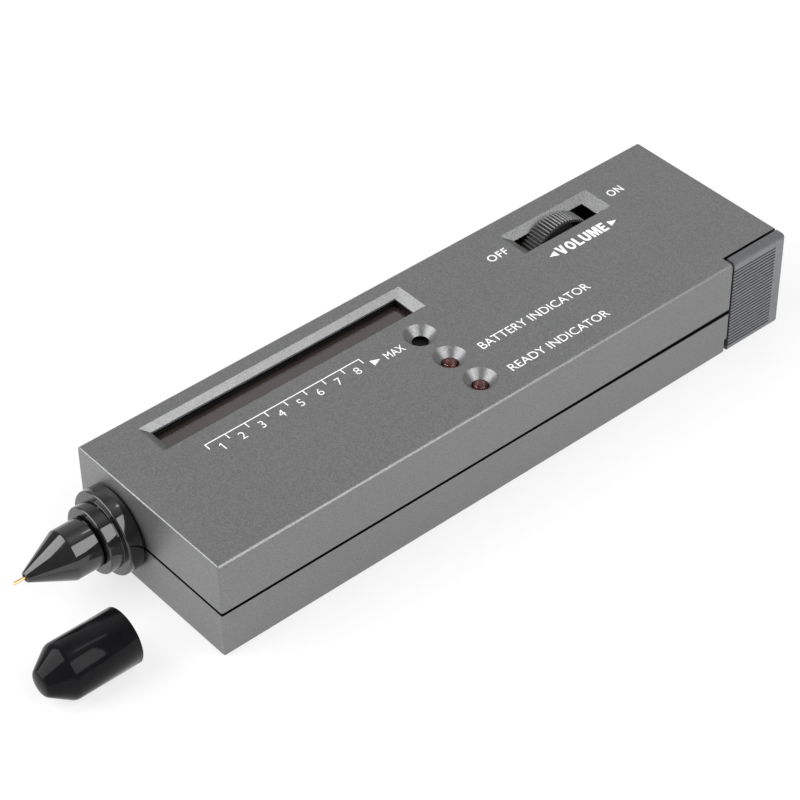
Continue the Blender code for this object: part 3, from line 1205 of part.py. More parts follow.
def make_probe_nose():
    """Barrel and cone on a stem that the nut clamps behind the collar."""
    pin_hole = PIN_RADIUS + FIT_GAP
    slope = (BARREL_RADIUS - CONE_END_RADIUS) / CONE_LENGTH
    profile = [
        (PROBE_BORE_RADIUS, STEM_BACK), (STEM_RADIUS, STEM_BACK), (STEM_RADIUS, BARREL_BACK),
        (BARREL_RADIUS, BARREL_BACK), (BARREL_RADIUS, BARREL_FRONT - SHOULDER_ROUND),
        (BARREL_RADIUS - SHOULDER_ROUND * slope / 4, BARREL_FRONT),
        (BARREL_RADIUS - SHOULDER_ROUND * slope, BARREL_FRONT + SHOULDER_ROUND),
        (CONE_END_RADIUS + CONE_TIP_ROUND * slope, CONE_FRONT - CONE_TIP_ROUND),
        (CONE_END_RADIUS - CONE_TIP_ROUND / 4, CONE_FRONT), (pin_hole, CONE_FRONT), (pin_hole, BORE_END),
        (PROBE_BORE_RADIUS, BORE_END), (PROBE_BORE_RADIUS, STEM_BACK),
    ]
    bm = bmesh.new()
    add_turned(bm, profile, frame_along(NOSE_ORIGIN, OUTWARD), LARGE_ROUND)
    finish(smooth(mesh_object("probe_nose", bm), CONE_CREASE), (0.012, 0.012, 0.014), 0.1)


def make_probe_inside():
    """Nut, plug, sprung tip with its heater, return spring and wires."""
    frame = frame_along(NOSE_ORIGIN, OUTWARD)
    bm = bmesh.new()
    add_turned(bm, [
        (STEM_RADIUS + FIT_GAP, NUT_BACK), (NUT_RADIUS, NUT_BACK), (NUT_RADIUS, NUT_FRONT),
        (STEM_RADIUS + FIT_GAP, NUT_FRONT), (STEM_RADIUS + FIT_GAP, NUT_BACK),
    ], frame, NUT_SIDES)
    nut_bore = bmesh.new()
    nut = mesh_object("probe_nut", bm)
    add_cylinder(
        nut_bore, frame @ Vector((0, 0, NUT_BACK - OVERRUN)), OUTWARD, STEM_RADIUS + FIT_GAP,
        NUT_THICKNESS + 2 * OVERRUN, MEDIUM_ROUND,
    )
    combine(nut, "bore", nut_bore, "DIFFERENCE")
    finish(nut, (0.6, 0.55, 0.35), 0.35, 1.0)

    bm = bmesh.new()
    add_turned(bm, [
        (0, PLUG_HEAD_BACK), (PLUG_HEAD_RADIUS, PLUG_HEAD_BACK), (PLUG_HEAD_RADIUS, PLUG_HEAD_FRONT),
        (PLUG_STEM_RADIUS, PLUG_HEAD_FRONT), (PLUG_STEM_RADIUS, PLUG_STEM_FRONT), (0, PLUG_STEM_FRONT),
    ], frame, MEDIUM_ROUND)
    finish(smooth(mesh_object("probe_plug", bm)), (0.6, 0.6, 0.55), 0.5)

    tip_point = frame @ Vector((0, 0, PIN_END))
    bm = bmesh.new()
    add_turned(bm, [
        (0, SHANK_BACK), (SHANK_RADIUS, SHANK_BACK), (SHANK_RADIUS, SHANK_FRONT), (PIN_RADIUS, SHANK_FRONT),
        (PIN_RADIUS, PIN_END - PIN_POINT), (PIN_RADIUS / 2, PIN_END), (0, PIN_END),
    ], frame, MEDIUM_ROUND)
    tip = finish(smooth(mesh_object("probe_tip", bm, tip_point)), (0.80, 0.42, 0.22), 0.3, 1.0)
    bm = bmesh.new()
    start = frame @ Vector((0, 0, SHANK_BACK - FIT_GAP - HEATER_LENGTH))
    add_cylinder(bm, start, OUTWARD, HEATER_RADIUS, HEATER_LENGTH, SMALL_ROUND)
    heater = finish(smooth(mesh_object("tip_heater", bm, tip_point)), (0.5, 0.35, 0.2), 0.4)
    carry(tip, heater)

    total = SPRING_TURNS * SPRING_STEPS
    coil = []
    for step in range(total + 1):
        angle = math.tau * step / SPRING_STEPS
        height = SPRING_BACK + (SPRING_FRONT - SPRING_BACK) * step / total
        across, along = SPRING_RADIUS * math.cos(angle), SPRING_RADIUS * math.sin(angle)
        coil.append(frame @ Vector((across, along, height)))
    finish(wire("probe_spring", coil, SPRING_WIRE_RADIUS, 0), (0.6, 0.6, 0.6), 0.3, 1.0)

    end_z = BOARD_BOTTOM - FIT_GAP
    for index in range(PROBE_LEAD_COUNT):
        start = frame @ Vector((0, 0, PLUG_HEAD_BACK - FIT_GAP))
        start.y += (index - (PROBE_LEAD_COUNT - 1) / 2) * PROBE_LEAD_SPACING
        end_x = start.x + PROBE_LEAD_RUN
        middle_z = (start.z * 3 + end_z) / 4
        route = smooth_path([
            start, (start.x + PROBE_LEAD_RUN / 3, start.y, start.z),
            (start.x + PROBE_LEAD_RUN * 3 / 4, start.y, middle_z), (end_x, start.y, end_z),
        ])
        finish(wire(f"probe_lead_{index + 1}", route, PROBE_LEAD_RADIUS), (0.4, 0.4, 0.38), 0.5)


def make_cap():
    """Protective cap with a cone-shaped closed end."""
    cone_start = CAP_LENGTH - CAP_CONE_LENGTH
    cone_end = CAP_LENGTH - CAP_END_ROUND
    inner_cone_end = cone_end - CAP_WALL
    profile = [
        (CAP_INNER_RADIUS, 0), (CAP_RADIUS, 0), (CAP_RADIUS, cone_start), (CAP_END_RADIUS, cone_end),
        (CAP_END_RADIUS / 2, CAP_LENGTH - CAP_END_ROUND / 4), (0, CAP_LENGTH),
        (0, CAP_LENGTH - 2 * CAP_WALL),
        (CAP_END_RADIUS - CAP_WALL, inner_cone_end), (CAP_INNER_RADIUS, cone_start - CAP_WALL / 2),
        (CAP_INNER_RADIUS, 0),
    ]
    bm = bmesh.new()
    add_turned(bm, profile, frame_along(CAP_RIM, OUTWARD), LARGE_ROUND)
    finish(smooth(mesh_object("tip_cap", bm, CAP_RIM)), (0.012, 0.012, 0.014), 0.12)


def main():
    clear_scene()
    make_upper_shell()
    make_lower_shell()
    make_battery_cover()
    make_display()
    make_lamp("battery_lamp", BATTERY_LAMP_Y)
    make_lamp("ready_lamp", READY_LAMP_Y)
    make_buzzer()
    make_wheel()
    make_volume_board()
    make_board()
    make_case_screws()
    make_battery()
    make_collar()
    make_probe_nose()
    make_probe_inside()
    make_cap()


main()
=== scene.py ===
"""Looks of the hand-held diamond tester: finishes, fine meshes, printing, light and camera.

Metres, +Z up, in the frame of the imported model: the probe points to -X, the battery end
lies at +X, the ribbed battery cover faces -Y, and the panel with the display faces up.
"""

import json
import math

import bmesh
import bpy
from mathutils import Matrix, Vector

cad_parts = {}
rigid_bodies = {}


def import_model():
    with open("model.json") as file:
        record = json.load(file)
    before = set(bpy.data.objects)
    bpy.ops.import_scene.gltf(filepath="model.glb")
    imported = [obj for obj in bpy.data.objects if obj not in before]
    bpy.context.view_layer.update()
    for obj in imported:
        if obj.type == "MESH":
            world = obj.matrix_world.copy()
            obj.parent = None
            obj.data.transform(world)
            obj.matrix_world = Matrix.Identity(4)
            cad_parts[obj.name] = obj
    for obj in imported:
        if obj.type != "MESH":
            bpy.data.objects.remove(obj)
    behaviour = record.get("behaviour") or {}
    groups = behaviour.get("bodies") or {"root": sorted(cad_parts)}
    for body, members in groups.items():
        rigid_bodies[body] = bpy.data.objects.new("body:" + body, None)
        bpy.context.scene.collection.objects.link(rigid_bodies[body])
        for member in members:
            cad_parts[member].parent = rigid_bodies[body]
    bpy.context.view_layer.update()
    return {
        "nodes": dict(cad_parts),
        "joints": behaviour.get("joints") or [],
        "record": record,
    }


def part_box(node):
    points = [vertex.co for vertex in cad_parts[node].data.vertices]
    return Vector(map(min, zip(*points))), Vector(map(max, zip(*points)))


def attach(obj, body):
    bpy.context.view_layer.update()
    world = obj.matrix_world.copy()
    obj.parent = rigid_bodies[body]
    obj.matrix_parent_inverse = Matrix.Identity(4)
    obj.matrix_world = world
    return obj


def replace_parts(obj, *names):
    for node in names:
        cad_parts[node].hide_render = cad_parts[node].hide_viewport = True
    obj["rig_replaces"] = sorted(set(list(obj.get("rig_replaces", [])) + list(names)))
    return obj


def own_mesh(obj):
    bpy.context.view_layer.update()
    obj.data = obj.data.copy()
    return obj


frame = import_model()

MM = 0.001

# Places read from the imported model
SHELL_LOW, SHELL_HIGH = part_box("upper_shell")
TOP = SHELL_HIGH.z
FRONT = SHELL_LOW.x
REAR = SHELL_HIGH.x
FAR = SHELL_HIGH.y
COLLAR_LOW, COLLAR_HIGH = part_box("nose_collar")
NOSE_LOW, NOSE_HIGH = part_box("probe_nose")
TIP_LOW, TIP_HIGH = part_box("probe_tip")
CAP_LOW, CAP_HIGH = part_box("tip_cap")
BATTERY_LOW, BATTERY_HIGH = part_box("battery")
NOSE_AXIS = (COLLAR_LOW + COLLAR_HIGH) / 2
CAP_AXIS = (CAP_LOW + CAP_HIGH) / 2
JOINTS = {joint["name"]: joint for joint in frame["joints"]}
WHEEL_AXIS = Vector(JOINTS["volume_turn"]["pos_m"])
BODY_OF_NODE = {
    name: body for body, names in frame["record"]["behaviour"]["bodies"].items() for name in names
}

# Directions
OUTWARD = Vector((-1, 0, 0))
ACROSS = Vector((0, 1, 0))
UP = Vector((0, 0, 1))
DOWN = Vector((0, 0, -1))

# Parting line between the case halves, and where paint ends on them
PARTING_HEIGHT = 10.35 * MM
# Half width of the bare black band about the parting line, at the front and at the rear: bare plastic at
# the gap, widened towards the rear as painted shade that makes the gap look wider
PARTING_BARE_AND_SHADE = 0.34 * MM
PARTING_BARE_AND_SHADE_REAR = 0.66 * MM
PAINT_MARGIN = 0.65 * MM
RIM_MARGIN = 1.65 * MM
PAINTED_EDGE = 0.12 * MM

# Hollows under the battery cover kept bare, partly painted shade of its gaps: lowest and highest corner
BARE_AND_SHADED_POCKETS = (
    ((55.65 * MM, -20.70 * MM, -1.0 * MM), (71.0 * MM, -18.0 * MM, 23.0 * MM)),
    ((55.05 * MM, -20.70 * MM, -1.0 * MM), (71.0 * MM, -19.6 * MM, 3.6 * MM)),
)

# Colours and finishes of what shows
WHITE = (1.0, 1.0, 1.0)
PAINT_COLOUR = (0.204, 0.205, 0.207)
PAINT_METALLIC = 0.72
PAINT_ROUGHNESS = 0.39
PAINT_ROUGHNESS_SPREAD = 0.04
PAINT_SPARKLE_DEPTH = 0.28
PAINT_BLOTCH_COLOUR = (0.3, 0.3, 0.3)
PAINT_BLOTCH_SHARE = 0.05
# Bare black plastic, also used as painted shade beside the parting line and in the hollows by the cover
BARE_AND_SHADE_COLOUR = (0.012, 0.012, 0.013)
COVER_COLOUR = (0.155, 0.159, 0.171)
COVER_ROUGHNESS = (0.37, 0.47)
COVER_SHADES = 0.10
# Painted shade on the cover's upper face: how dark it makes it, and the depths below the top over which
# it fades in
COVER_TOP_PAINTED_SHADE = 0.58
COVER_TOP_PAINTED_SHADE_FADE = (0.9 * MM, 0.3 * MM)
# Painted shade in the cover's grooves: how dark, and the depths over which it fades in
COVER_GROOVE_PAINTED_SHADE = 0.45
COVER_GROOVE_PAINTED_SHADE_FADE = (0.06 * MM, 0.3 * MM)
WHEEL_COLOUR = (0.090, 0.090, 0.095)
# Painted shade on the wheel below the crests of its ribs
WHEEL_PAINTED_SHADE_COLOUR = (0.006, 0.006, 0.006)
WHEEL_ROUGHNESS = (0.75, 0.26)
BLACK_COLOUR = (0.006, 0.006, 0.007)
NOSE_ROUGHNESS = 0.06
NOSE_SPECULAR = 0.85
CAP_ROUGHNESS = 0.10
CAP_SPECULAR = 0.10
WINDOW_COLOUR = (0.108, 0.078, 0.070)
LAMP_COLOUR = (0.94, 0.19, 0.16)
INK_COLOUR = (0.86, 0.86, 0.86)

# Grain of moulded plastic: size of its shades, its wear and its relief, and the relief's height
PLASTIC_SHADE = 1.0 * MM
PLASTIC_WEAR = 3 * MM
PLASTIC_GRAIN = 0.25 * MM
PLASTIC_RELIEF = 0.006 * MM
PLASTIC_ROUGHNESS_SPREAD = 0.05
PLASTIC_SHADES = 0.08
METAL_STREAK = 0.15 * MM

# Finishes of the record's other slots: material, colour, roughness, own depth of the shades
PLASTICS = {
    "light_bar": ("light_bar_resin", (0.42, 0.14, 0.11), 0.35),
    "black_plastic": ("black_plastic", (0.02, 0.02, 0.021), 0.45),
    "white_plastic": ("white_plastic", (0.66, 0.65, 0.61), 0.4),
    "blue_plastic": ("blue_plastic", (0.04, 0.14, 0.45), 0.35),
    "phenolic": ("phenolic_resin", (0.45, 0.32, 0.19), 0.5, 0.2),
    "capacitor": ("capacitor_sleeve", (0.03, 0.035, 0.10), 0.3),
    "red_wire": ("red_insulation", (0.50, 0.02, 0.02), 0.4),
    "black_wire": ("black_insulation", (0.02, 0.02, 0.02), 0.4),
    "grey_wire": ("grey_insulation", (0.34, 0.34, 0.33), 0.4),
}
METALS = {
    "copper": ("copper_metal", (0.95, 0.52, 0.25), 0.18),
    "brass": ("brass_metal", (0.72, 0.53, 0.25), 0.25),
    "steel": ("zinc_steel", (0.62, 0.62, 0.62), 0.28),
}
BOARD_COLOUR = (0.03, 0.13, 0.05)
TRACK_COLOUR = (0.061, 0.231, 0.095)
TRACK_PITCH = 6 * MM
TRACK_WIDTH = 0.03
PAD_COLOUR = (0.6, 0.58, 0.55)
PAD_PITCH = 2.54 * MM
PAD_RADIUS = 0.2
PAD_METALLIC = 0.8
JACKET_COLOUR = (0.05, 0.05, 0.055)
JACKET_BAND_COLOUR = (0.5, 0.27, 0.12)
JACKET_BAND_SHARE = 0.28

# Clean-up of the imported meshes: points and flats that are joined
WELD_DISTANCE = 0.0005 * MM
FLAT_ANGLE = math.radians(0.4)

# Edges past these angles stay sharp, in degrees
SURFACE_ANGLE = 25
TURNED_ANGLE = 30
WHEEL_ANGLE = 35
PRINT_ANGLE = 40
CAP_ANGLE = 50

# Facets of turned pieces
ROUND_SIDES = 96
LAMP_SIDES = 48
SMALL_SIDES = 32
FILLET_STEPS = 5
FILLET_REACH_LIMIT = 0.49
ON_AXIS = 1e-7

# Probe: collar with its step, barrel with its cone, and the metal pin
NECK_RADIUS = 5.2 * MM
INNER_FLANGE_RADIUS = 7.0 * MM
INNER_FLANGE_THICKNESS = 1.5 * MM
FLANGE_FILLET = 0.15 * MM
COLLAR_BACK = 0.3 * MM
COLLAR_FRONT = 3.6 * MM
COLLAR_CHAMFER = 0.25 * MM
COLLAR_EDGE = 0.3 * MM
STEP_RADIUS = 6.8 * MM
STEP_FILLET = 0.08 * MM
STEP_GAP = 0.3 * MM
BARREL_CLEAR = 4.3 * MM
BARREL_FRONT = 12.0 * MM
BARREL_CHAMFER = 0.1 * MM
SHOULDER_FILLET = 0.9 * MM
STEM_RADIUS = 4.0 * MM
STEM_FILLET = 0.1 * MM
BORE_RADIUS = 1.7 * MM
BORE_DEPTH = 5.0 * MM
CONE_END_RADIUS = 1.0 * MM
CONE_END_FILLET = 0.4 * MM
PIN_HOLE_RADIUS = 0.6 * MM
PIN_HOLE_FILLET = 0.05 * MM
SHANK_FILLET = 0.15 * MM
PIN_RADIUS = 0.31 * MM
PIN_FILLET = 0.2 * MM

# Protective cap
CAP_WALL = 0.4 * MM
CAP_END_WALL = 0.7 * MM
CAP_MOUTH_CHAMFER = 0.08 * MM
CAP_MOUTH_FLARE = (0.15 * MM, 0.2 * MM)
CAP_SHOULDER = 13.5 * MM
CAP_SHOULDER_FILLET = 2.2 * MM
CAP_INNER_SHOULDER = CAP_SHOULDER - 0.2 * MM
CAP_END_RADIUS = 2.5 * MM
CAP_END_SLOPE = 0.45 * MM
CAP_END_FILLET = 1.3 * MM
CAP_INNER_END_FILLET = 1.2 * MM

# Lamps in the countersunk holes
LAMP_RADIUS = 1.5 * MM
LAMP_FLANGE_HEIGHT = 0.9 * MM
LAMP_FLANGE_FILLET = 0.1 * MM
LAMP_DOME_SHARE = 0.98
LAMP_EDGE = 0.05 * MM
LAMP_CUP_BOTTOM = 1.4 * MM
LAMP_CUP_TOP = 3.4 * MM
LAMP_CUP_RADIUS = 0.82 * MM
LAMP_CUP_FOOT_RADIUS = LAMP_CUP_RADIUS * 0.7
LAMP_CUP_MOUTH_RADIUS = LAMP_CUP_RADIUS * 0.82
LAMP_CUP_WELL_RADIUS = LAMP_CUP_RADIUS * 0.35
LAMP_CUP_WELL_DEPTH = 0.4 * MM

# Thumbwheel
WHEEL_RIB_PITCH = 0.79 * MM
WHEEL_RIB_DEPTH = 0.58 * MM
WHEEL_RIB_SHARES = (0.0, 0.0, 0.25, 0.65, 0.92, 1.0, 0.92, 0.65, 0.25, 0.0)
WHEEL_BORE = 1.9 * MM
HUB_RADIUS = 3.0 * MM
HUB_RECESS = 1.2 * MM
WEB_INNER = 4.2 * MM
WEB_OUTER = 8.05 * MM
WEB_RECESS = 1.0 * MM
# Distances from the wheel's axis over which it goes from dull with painted shade to a worn sheen
WHEEL_DULL_SHADED_RADIUS = 8.35 * MM
WHEEL_WORN_UNSHADED_RADIUS = 8.7 * MM

# Rounded edge of the wheel's rim: steps inward and along, as shares of its chamfer
RIM_CHAMFER = 0.06 * MM
RIM_EDGE = ((1.3, 0.0), (0.3, 1.0), (0.0, 1.6))

# Battery cover's grooves, and the ledge in the display's opening (its lowest and highest corner)
COVER_GROOVES = 25
COVER_GROOVE_START = 1.0 * MM
COVER_GROOVE_PITCH = 0.77 * MM
COVER_GROOVE_WIDTH = 0.40 * MM
COVER_GROOVE_DEPTH = 0.80 * MM
COVER_GROOVE_FRONT = 56.3 * MM
COVER_GROOVE_BACK = 68.0 * MM
DISPLAY_LEDGE = ((-57.5 * MM, 10.5 * MM, 19.95 * MM), (0.8 * MM, 16.0 * MM, 21.0 * MM))

# Screws: head radius, head height, shank radius; then shares of pitch, shank and head
CASE_SCREW = (2.0 * MM, 1.6 * MM, 1.1 * MM)
BOARD_SCREW = (1.7 * MM, 1.1 * MM, 0.8 * MM)
WHEEL_SCREW = (2.4 * MM, 0.8 * MM, 0.7 * MM)
THREAD_PITCH = 0.8 * MM
THREAD_SHARES = (0.3, 0.5, 0.7)
THREAD_DEPTH_SHARE = 0.22
CROWN_FILLET_SHARE = 0.6
RECESS_REACH_SHARE = 0.55
RECESS_WIDTH_SHARE = 0.13
RECESS_DEPTH_SHARE = 0.55

# Printing on the panel
INK_SINK = 0.01 * MM
INK_HEIGHT = 0.02 * MM
LETTER_CURVE_STEPS = 4
SCALE_START = -53.1 * MM
SCALE_PITCH = 4.51 * MM
SCALE_STEPS = 8
SCALE_Y = 5.65 * MM
SCALE_TICK = 1.5 * MM
SCALE_LINE = 0.22 * MM
SCALE_NUMERAL_Y = 3.25 * MM
SCALE_NUMERAL_HEIGHT = 1.95 * MM
NUMERAL_WEIGHT = -0.008
NUMERAL_SPACING = 1.0
NUMERAL_ONE = (
    (0.0, -0.5), (0.11, -0.5), (0.11, 0.5), (0.02, 0.5), (-0.19, 0.34), (-0.19, 0.22), (0.0, 0.33),
)
ARROW_LENGTH = 1.9 * MM
ARROW_HALF = 0.85 * MM
MAX_ARROW = (-14.9 * MM, 3.1 * MM)
VOLUME_Y = 4.65 * MM
VOLUME_ARROWS = (30.8 * MM, 48.8 * MM)

# Piece, words, centre, height of the capitals, width, weight, spacing
PRINTED_WORDS = (
    ("print_max", "MAX", (-10.6 * MM, 2.9 * MM), 1.9 * MM, 4.4 * MM, 0.0, 1.0),
    ("print_battery", "BATTERY INDICATOR", (16.35 * MM, -6.6 * MM), 2.05 * MM, 27.9 * MM,
     -0.002, 1.0),
    ("print_ready", "READY INDICATOR", (14.9 * MM, -14.95 * MM), 2.0 * MM, 25.1 * MM,
     -0.002, 1.0),
    ("print_off", "OFF", (23.6 * MM, 11.8 * MM), 2.0 * MM, 4.9 * MM, 0.01, 1.1),
    ("print_on", "ON", (55.3 * MM, 11.7 * MM), 2.0 * MM, 3.7 * MM, 0.01, 1.1),
)

# Bold word beside the wheel, in shares of its height: each letter's width and outline;
# the round letter has none, but an outer and an inner oval
BOLD_HEIGHT = 2.7 * MM
BOLD_START = (33.15 * MM, 4.7 * MM)
BOLD_GAP = 0.12
LETTER_V = (
    (0, 0.5), (0.235, 0.5), (0.36, -0.12), (0.485, 0.5), (0.72, 0.5), (0.475, -0.5), (0.245, -0.5),
)
LETTER_L = ((0, 0.5), (0.22, 0.5), (0.22, -0.3), (0.56, -0.3), (0.56, -0.5), (0, -0.5))
LETTER_U = (
    (0, 0.5), (0.22, 0.5), (0.22, -0.15), (0.24, -0.22), (0.29, -0.27), (0.35, -0.28), (0.41, -0.27),
    (0.46, -0.22), (0.48, -0.15), (0.48, 0.5), (0.70, 0.5), (0.70, -0.15), (0.67, -0.29), (0.60, -0.40),
    (0.49, -0.47), (0.35, -0.5), (0.21, -0.47), (0.10, -0.40), (0.03, -0.29), (0, -0.15),
)
LETTER_M = (
    (0, -0.5), (0, 0.5), (0.29, 0.5), (0.43, -0.05), (0.57, 0.5), (0.86, 0.5), (0.86, -0.5),
    (0.65, -0.5), (0.65, 0.18), (0.50, -0.5), (0.36, -0.5), (0.21, 0.18), (0.21, -0.5),
)
LETTER_E = (
    (0, -0.5), (0, 0.5), (0.58, 0.5), (0.58, 0.3), (0.22, 0.3), (0.22, 0.1), (0.52, 0.1),
    (0.52, -0.09), (0.22, -0.09), (0.22, -0.3), (0.58, -0.3), (0.58, -0.5),
)
BOLD_LETTERS = (
    (0.72, LETTER_V), (0.72, None), (0.56, LETTER_L), (0.70, LETTER_U), (0.86, LETTER_M),
    (0.58, LETTER_E),
)
BOLD_ROUND = ((0.36, 0.5), (0.15, 0.29))
BOLD_ROUND_SIDES = 32

# Camera: the photograph's view, solved on the case's corners
CAMERA_PLACE = Vector((-0.25352, -0.28611, 0.33890))
CAMERA_RIGHT = Vector((0.7577469, -0.652459, -0.01081145))
CAMERA_UP = Vector((0.43478058, 0.49244811, 0.75396333))
CAMERA_LENS = 118.66
CAMERA_SENSOR = 36.0
CAMERA_CLIP = 0.01

# Lamps: the level of them all, then place (azimuth, elevation, distance), facing, size, radiance
LIGHT_LEVEL = 0.8
RIGHT_PLACE = (-76.5, 41, 0.752)
RIGHT_FACING = (-80, 40)
RIGHT_SIZE = (0.66, 0.62)
RIGHT_RADIANCE = 4.7
LEFT_PLACE = (148, 32, 0.75)
LEFT_FACING = (152, 32)
LEFT_SIZE = (0.74, 0.84)
LEFT_RADIANCE = 5.0
STRIP_PLACE = (0, 61, 1.0)
STRIP_FACING = (0, 61)
STRIP_SIZE = (0.10, 0.45)
STRIP_RADIANCE = 4.4

# Studio: centre of each glow, its inner and outer angle in degrees, and its radiance
STUDIO_BASE = 0.30
BACKDROP = (40, 14)
BACKDROP_SPREAD = (30, 50)
BACKDROP_RADIANCE = 0.89
OVERHEAD = (4, 67)
OVERHEAD_SPREAD = (4, 26)
OVERHEAD_RADIANCE = 1.1

# Floor
FLOOR_REACH = 6.0
FLOOR_DROP = 0.02 * MM
FLOOR_GLOW_SHARE = 0.7
FLOOR_COLOUR = (0.90, 0.90, 0.90)


def node(tree, kind, **values):
    """New shader node; values name its properties or its inputs."""
    made = tree.nodes.new(kind)
    for name, value in values.items():
        if hasattr(made, name):
            setattr(made, name, value)
        else:
            made.inputs[name.replace("_", " ")].default_value = value
    return made


def link(tree, source, target):
    """Link from an output to an input."""
    tree.links.new(source, target)


def new_material(name, colour, roughness, metallic=0.0, **further):
    """Material with a Principled shader, its tree, the shader and the place on the piece, in metres.

    Further values are inputs of the shader.
    """
    material = bpy.data.materials.new(name)
    material.use_nodes = True
    material.diffuse_color = (*colour, 1)
    shader = material.node_tree.nodes["Principled BSDF"]
    shader.inputs["Base Color"].default_value = (*colour, 1)
    shader.inputs["Roughness"].default_value = roughness
    shader.inputs["Metallic"].default_value = metallic
    for socket, value in further.items():
        shader.inputs[socket.replace("_", " ")].default_value = value
    place = node(material.node_tree, "ShaderNodeTexCoord").outputs["Object"]
    return material, material.node_tree, shader, place


def split(tree, vector):
    """The three coordinates of a vector."""
    axes = node(tree, "ShaderNodeSeparateXYZ")
    link(tree, vector, axes.inputs[0])
    return axes.outputs


def noise(tree, place, size, detail=2.0, roughness=0.5):
    """Noise whose blotches are about the given size."""
    made = node(tree, "ShaderNodeTexNoise", Scale=1 / size, Detail=detail, Roughness=roughness)
    link(tree, place, made.inputs["Vector"])
    return made.outputs["Fac"]


def remap(tree, value, low, high, from_low=0.3, from_high=0.7):
    """The value's range, by default that of noise, stretched to another range."""
    made = node(tree, "ShaderNodeMapRange")
    link(tree, value, made.inputs["Value"])
    made.inputs["From Min"].default_value = from_low
    made.inputs["From Max"].default_value = from_high
    made.inputs["To Min"].default_value = low
    made.inputs["To Max"].default_value = high
    return made.outputs["Result"]


def math_node(tree, operation, first, second=None):
    """Result of a Math node; each operand is a number or an output."""
    made = node(tree, "ShaderNodeMath", operation=operation)
    for socket, value in zip(made.inputs, (first, second)):
        if value is None:
            continue
        if isinstance(value, (int, float)):
            socket.default_value = value
        else:
            link(tree, value, socket)
    return made.outputs["Value"]


def multiply(tree, first, second):
    """Product of two operands."""
    return math_node(tree, "MULTIPLY", first, second)


def within(tree, value, start, end):
    """1 between two limits and 0 outside them."""
    offset = math_node(tree, "ABSOLUTE", math_node(tree, "SUBTRACT", value, (start + end) / 2))
    return math_node(tree, "LESS_THAN", offset, (end - start) / 2)


def mix_colour(tree, factor, first, second):
    """Mix of two colours, each a tuple or an output, by an output."""
    made = node(tree, "ShaderNodeMix", data_type="RGBA")
    link(tree, factor, made.inputs["Factor"])
    for name, value in (("A", first), ("B", second)):
        socket = [s for s in made.inputs if s.name == name and s.type == "RGBA"][0]
        if isinstance(value, tuple):
            socket.default_value = (*value, 1)
        else:
            link(tree, value, socket)
    return [s for s in made.outputs if s.type == "RGBA"][0]


def shades(tree, place, colour, size, depth, detail=2.0, roughness=0.5):
    """A colour that varies lighter and darker by the given depth."""
    dark = tuple(c * (1 - depth) for c in colour)
    light = tuple(min(1, c * (1 + depth)) for c in colour)
    factor = remap(tree, noise(tree, place, size, detail, roughness), 0, 1)
    return mix_colour(tree, factor, dark, light)


def tint(tree, shader, place, colour, size, depth):
    """Base colour with lighter and darker shades."""
    link(tree, shades(tree, place, colour, size, depth), shader.inputs["Base Color"])


def wear(tree, shader, place, size, low, high, detail=2.0):
    """Roughness that varies between two values over the given size."""
    worn = remap(tree, noise(tree, place, size, detail), low, high)
    link(tree, worn, shader.inputs["Roughness"])


def bump(tree, shader, height, distance, strength, edge=None):
    """Relief from a height; edge softens the light on edges over that width."""
    made = node(tree, "ShaderNodeBump", Strength=strength, Distance=distance)
    link(tree, height, made.inputs["Height"])
    if edge is not None:
        soft = node(tree, "ShaderNodeBevel", samples=4, Radius=edge)
        link(tree, soft.outputs["Normal"], made.inputs["Normal"])
    link(tree, made.outputs["Normal"], shader.inputs["Normal"])


def plastic_relief(tree, shader, place):
    """Fine grain of moulded plastic."""
    bump(tree, shader, noise(tree, place, PLASTIC_GRAIN, detail=3), PLASTIC_RELIEF, strength=0.5)


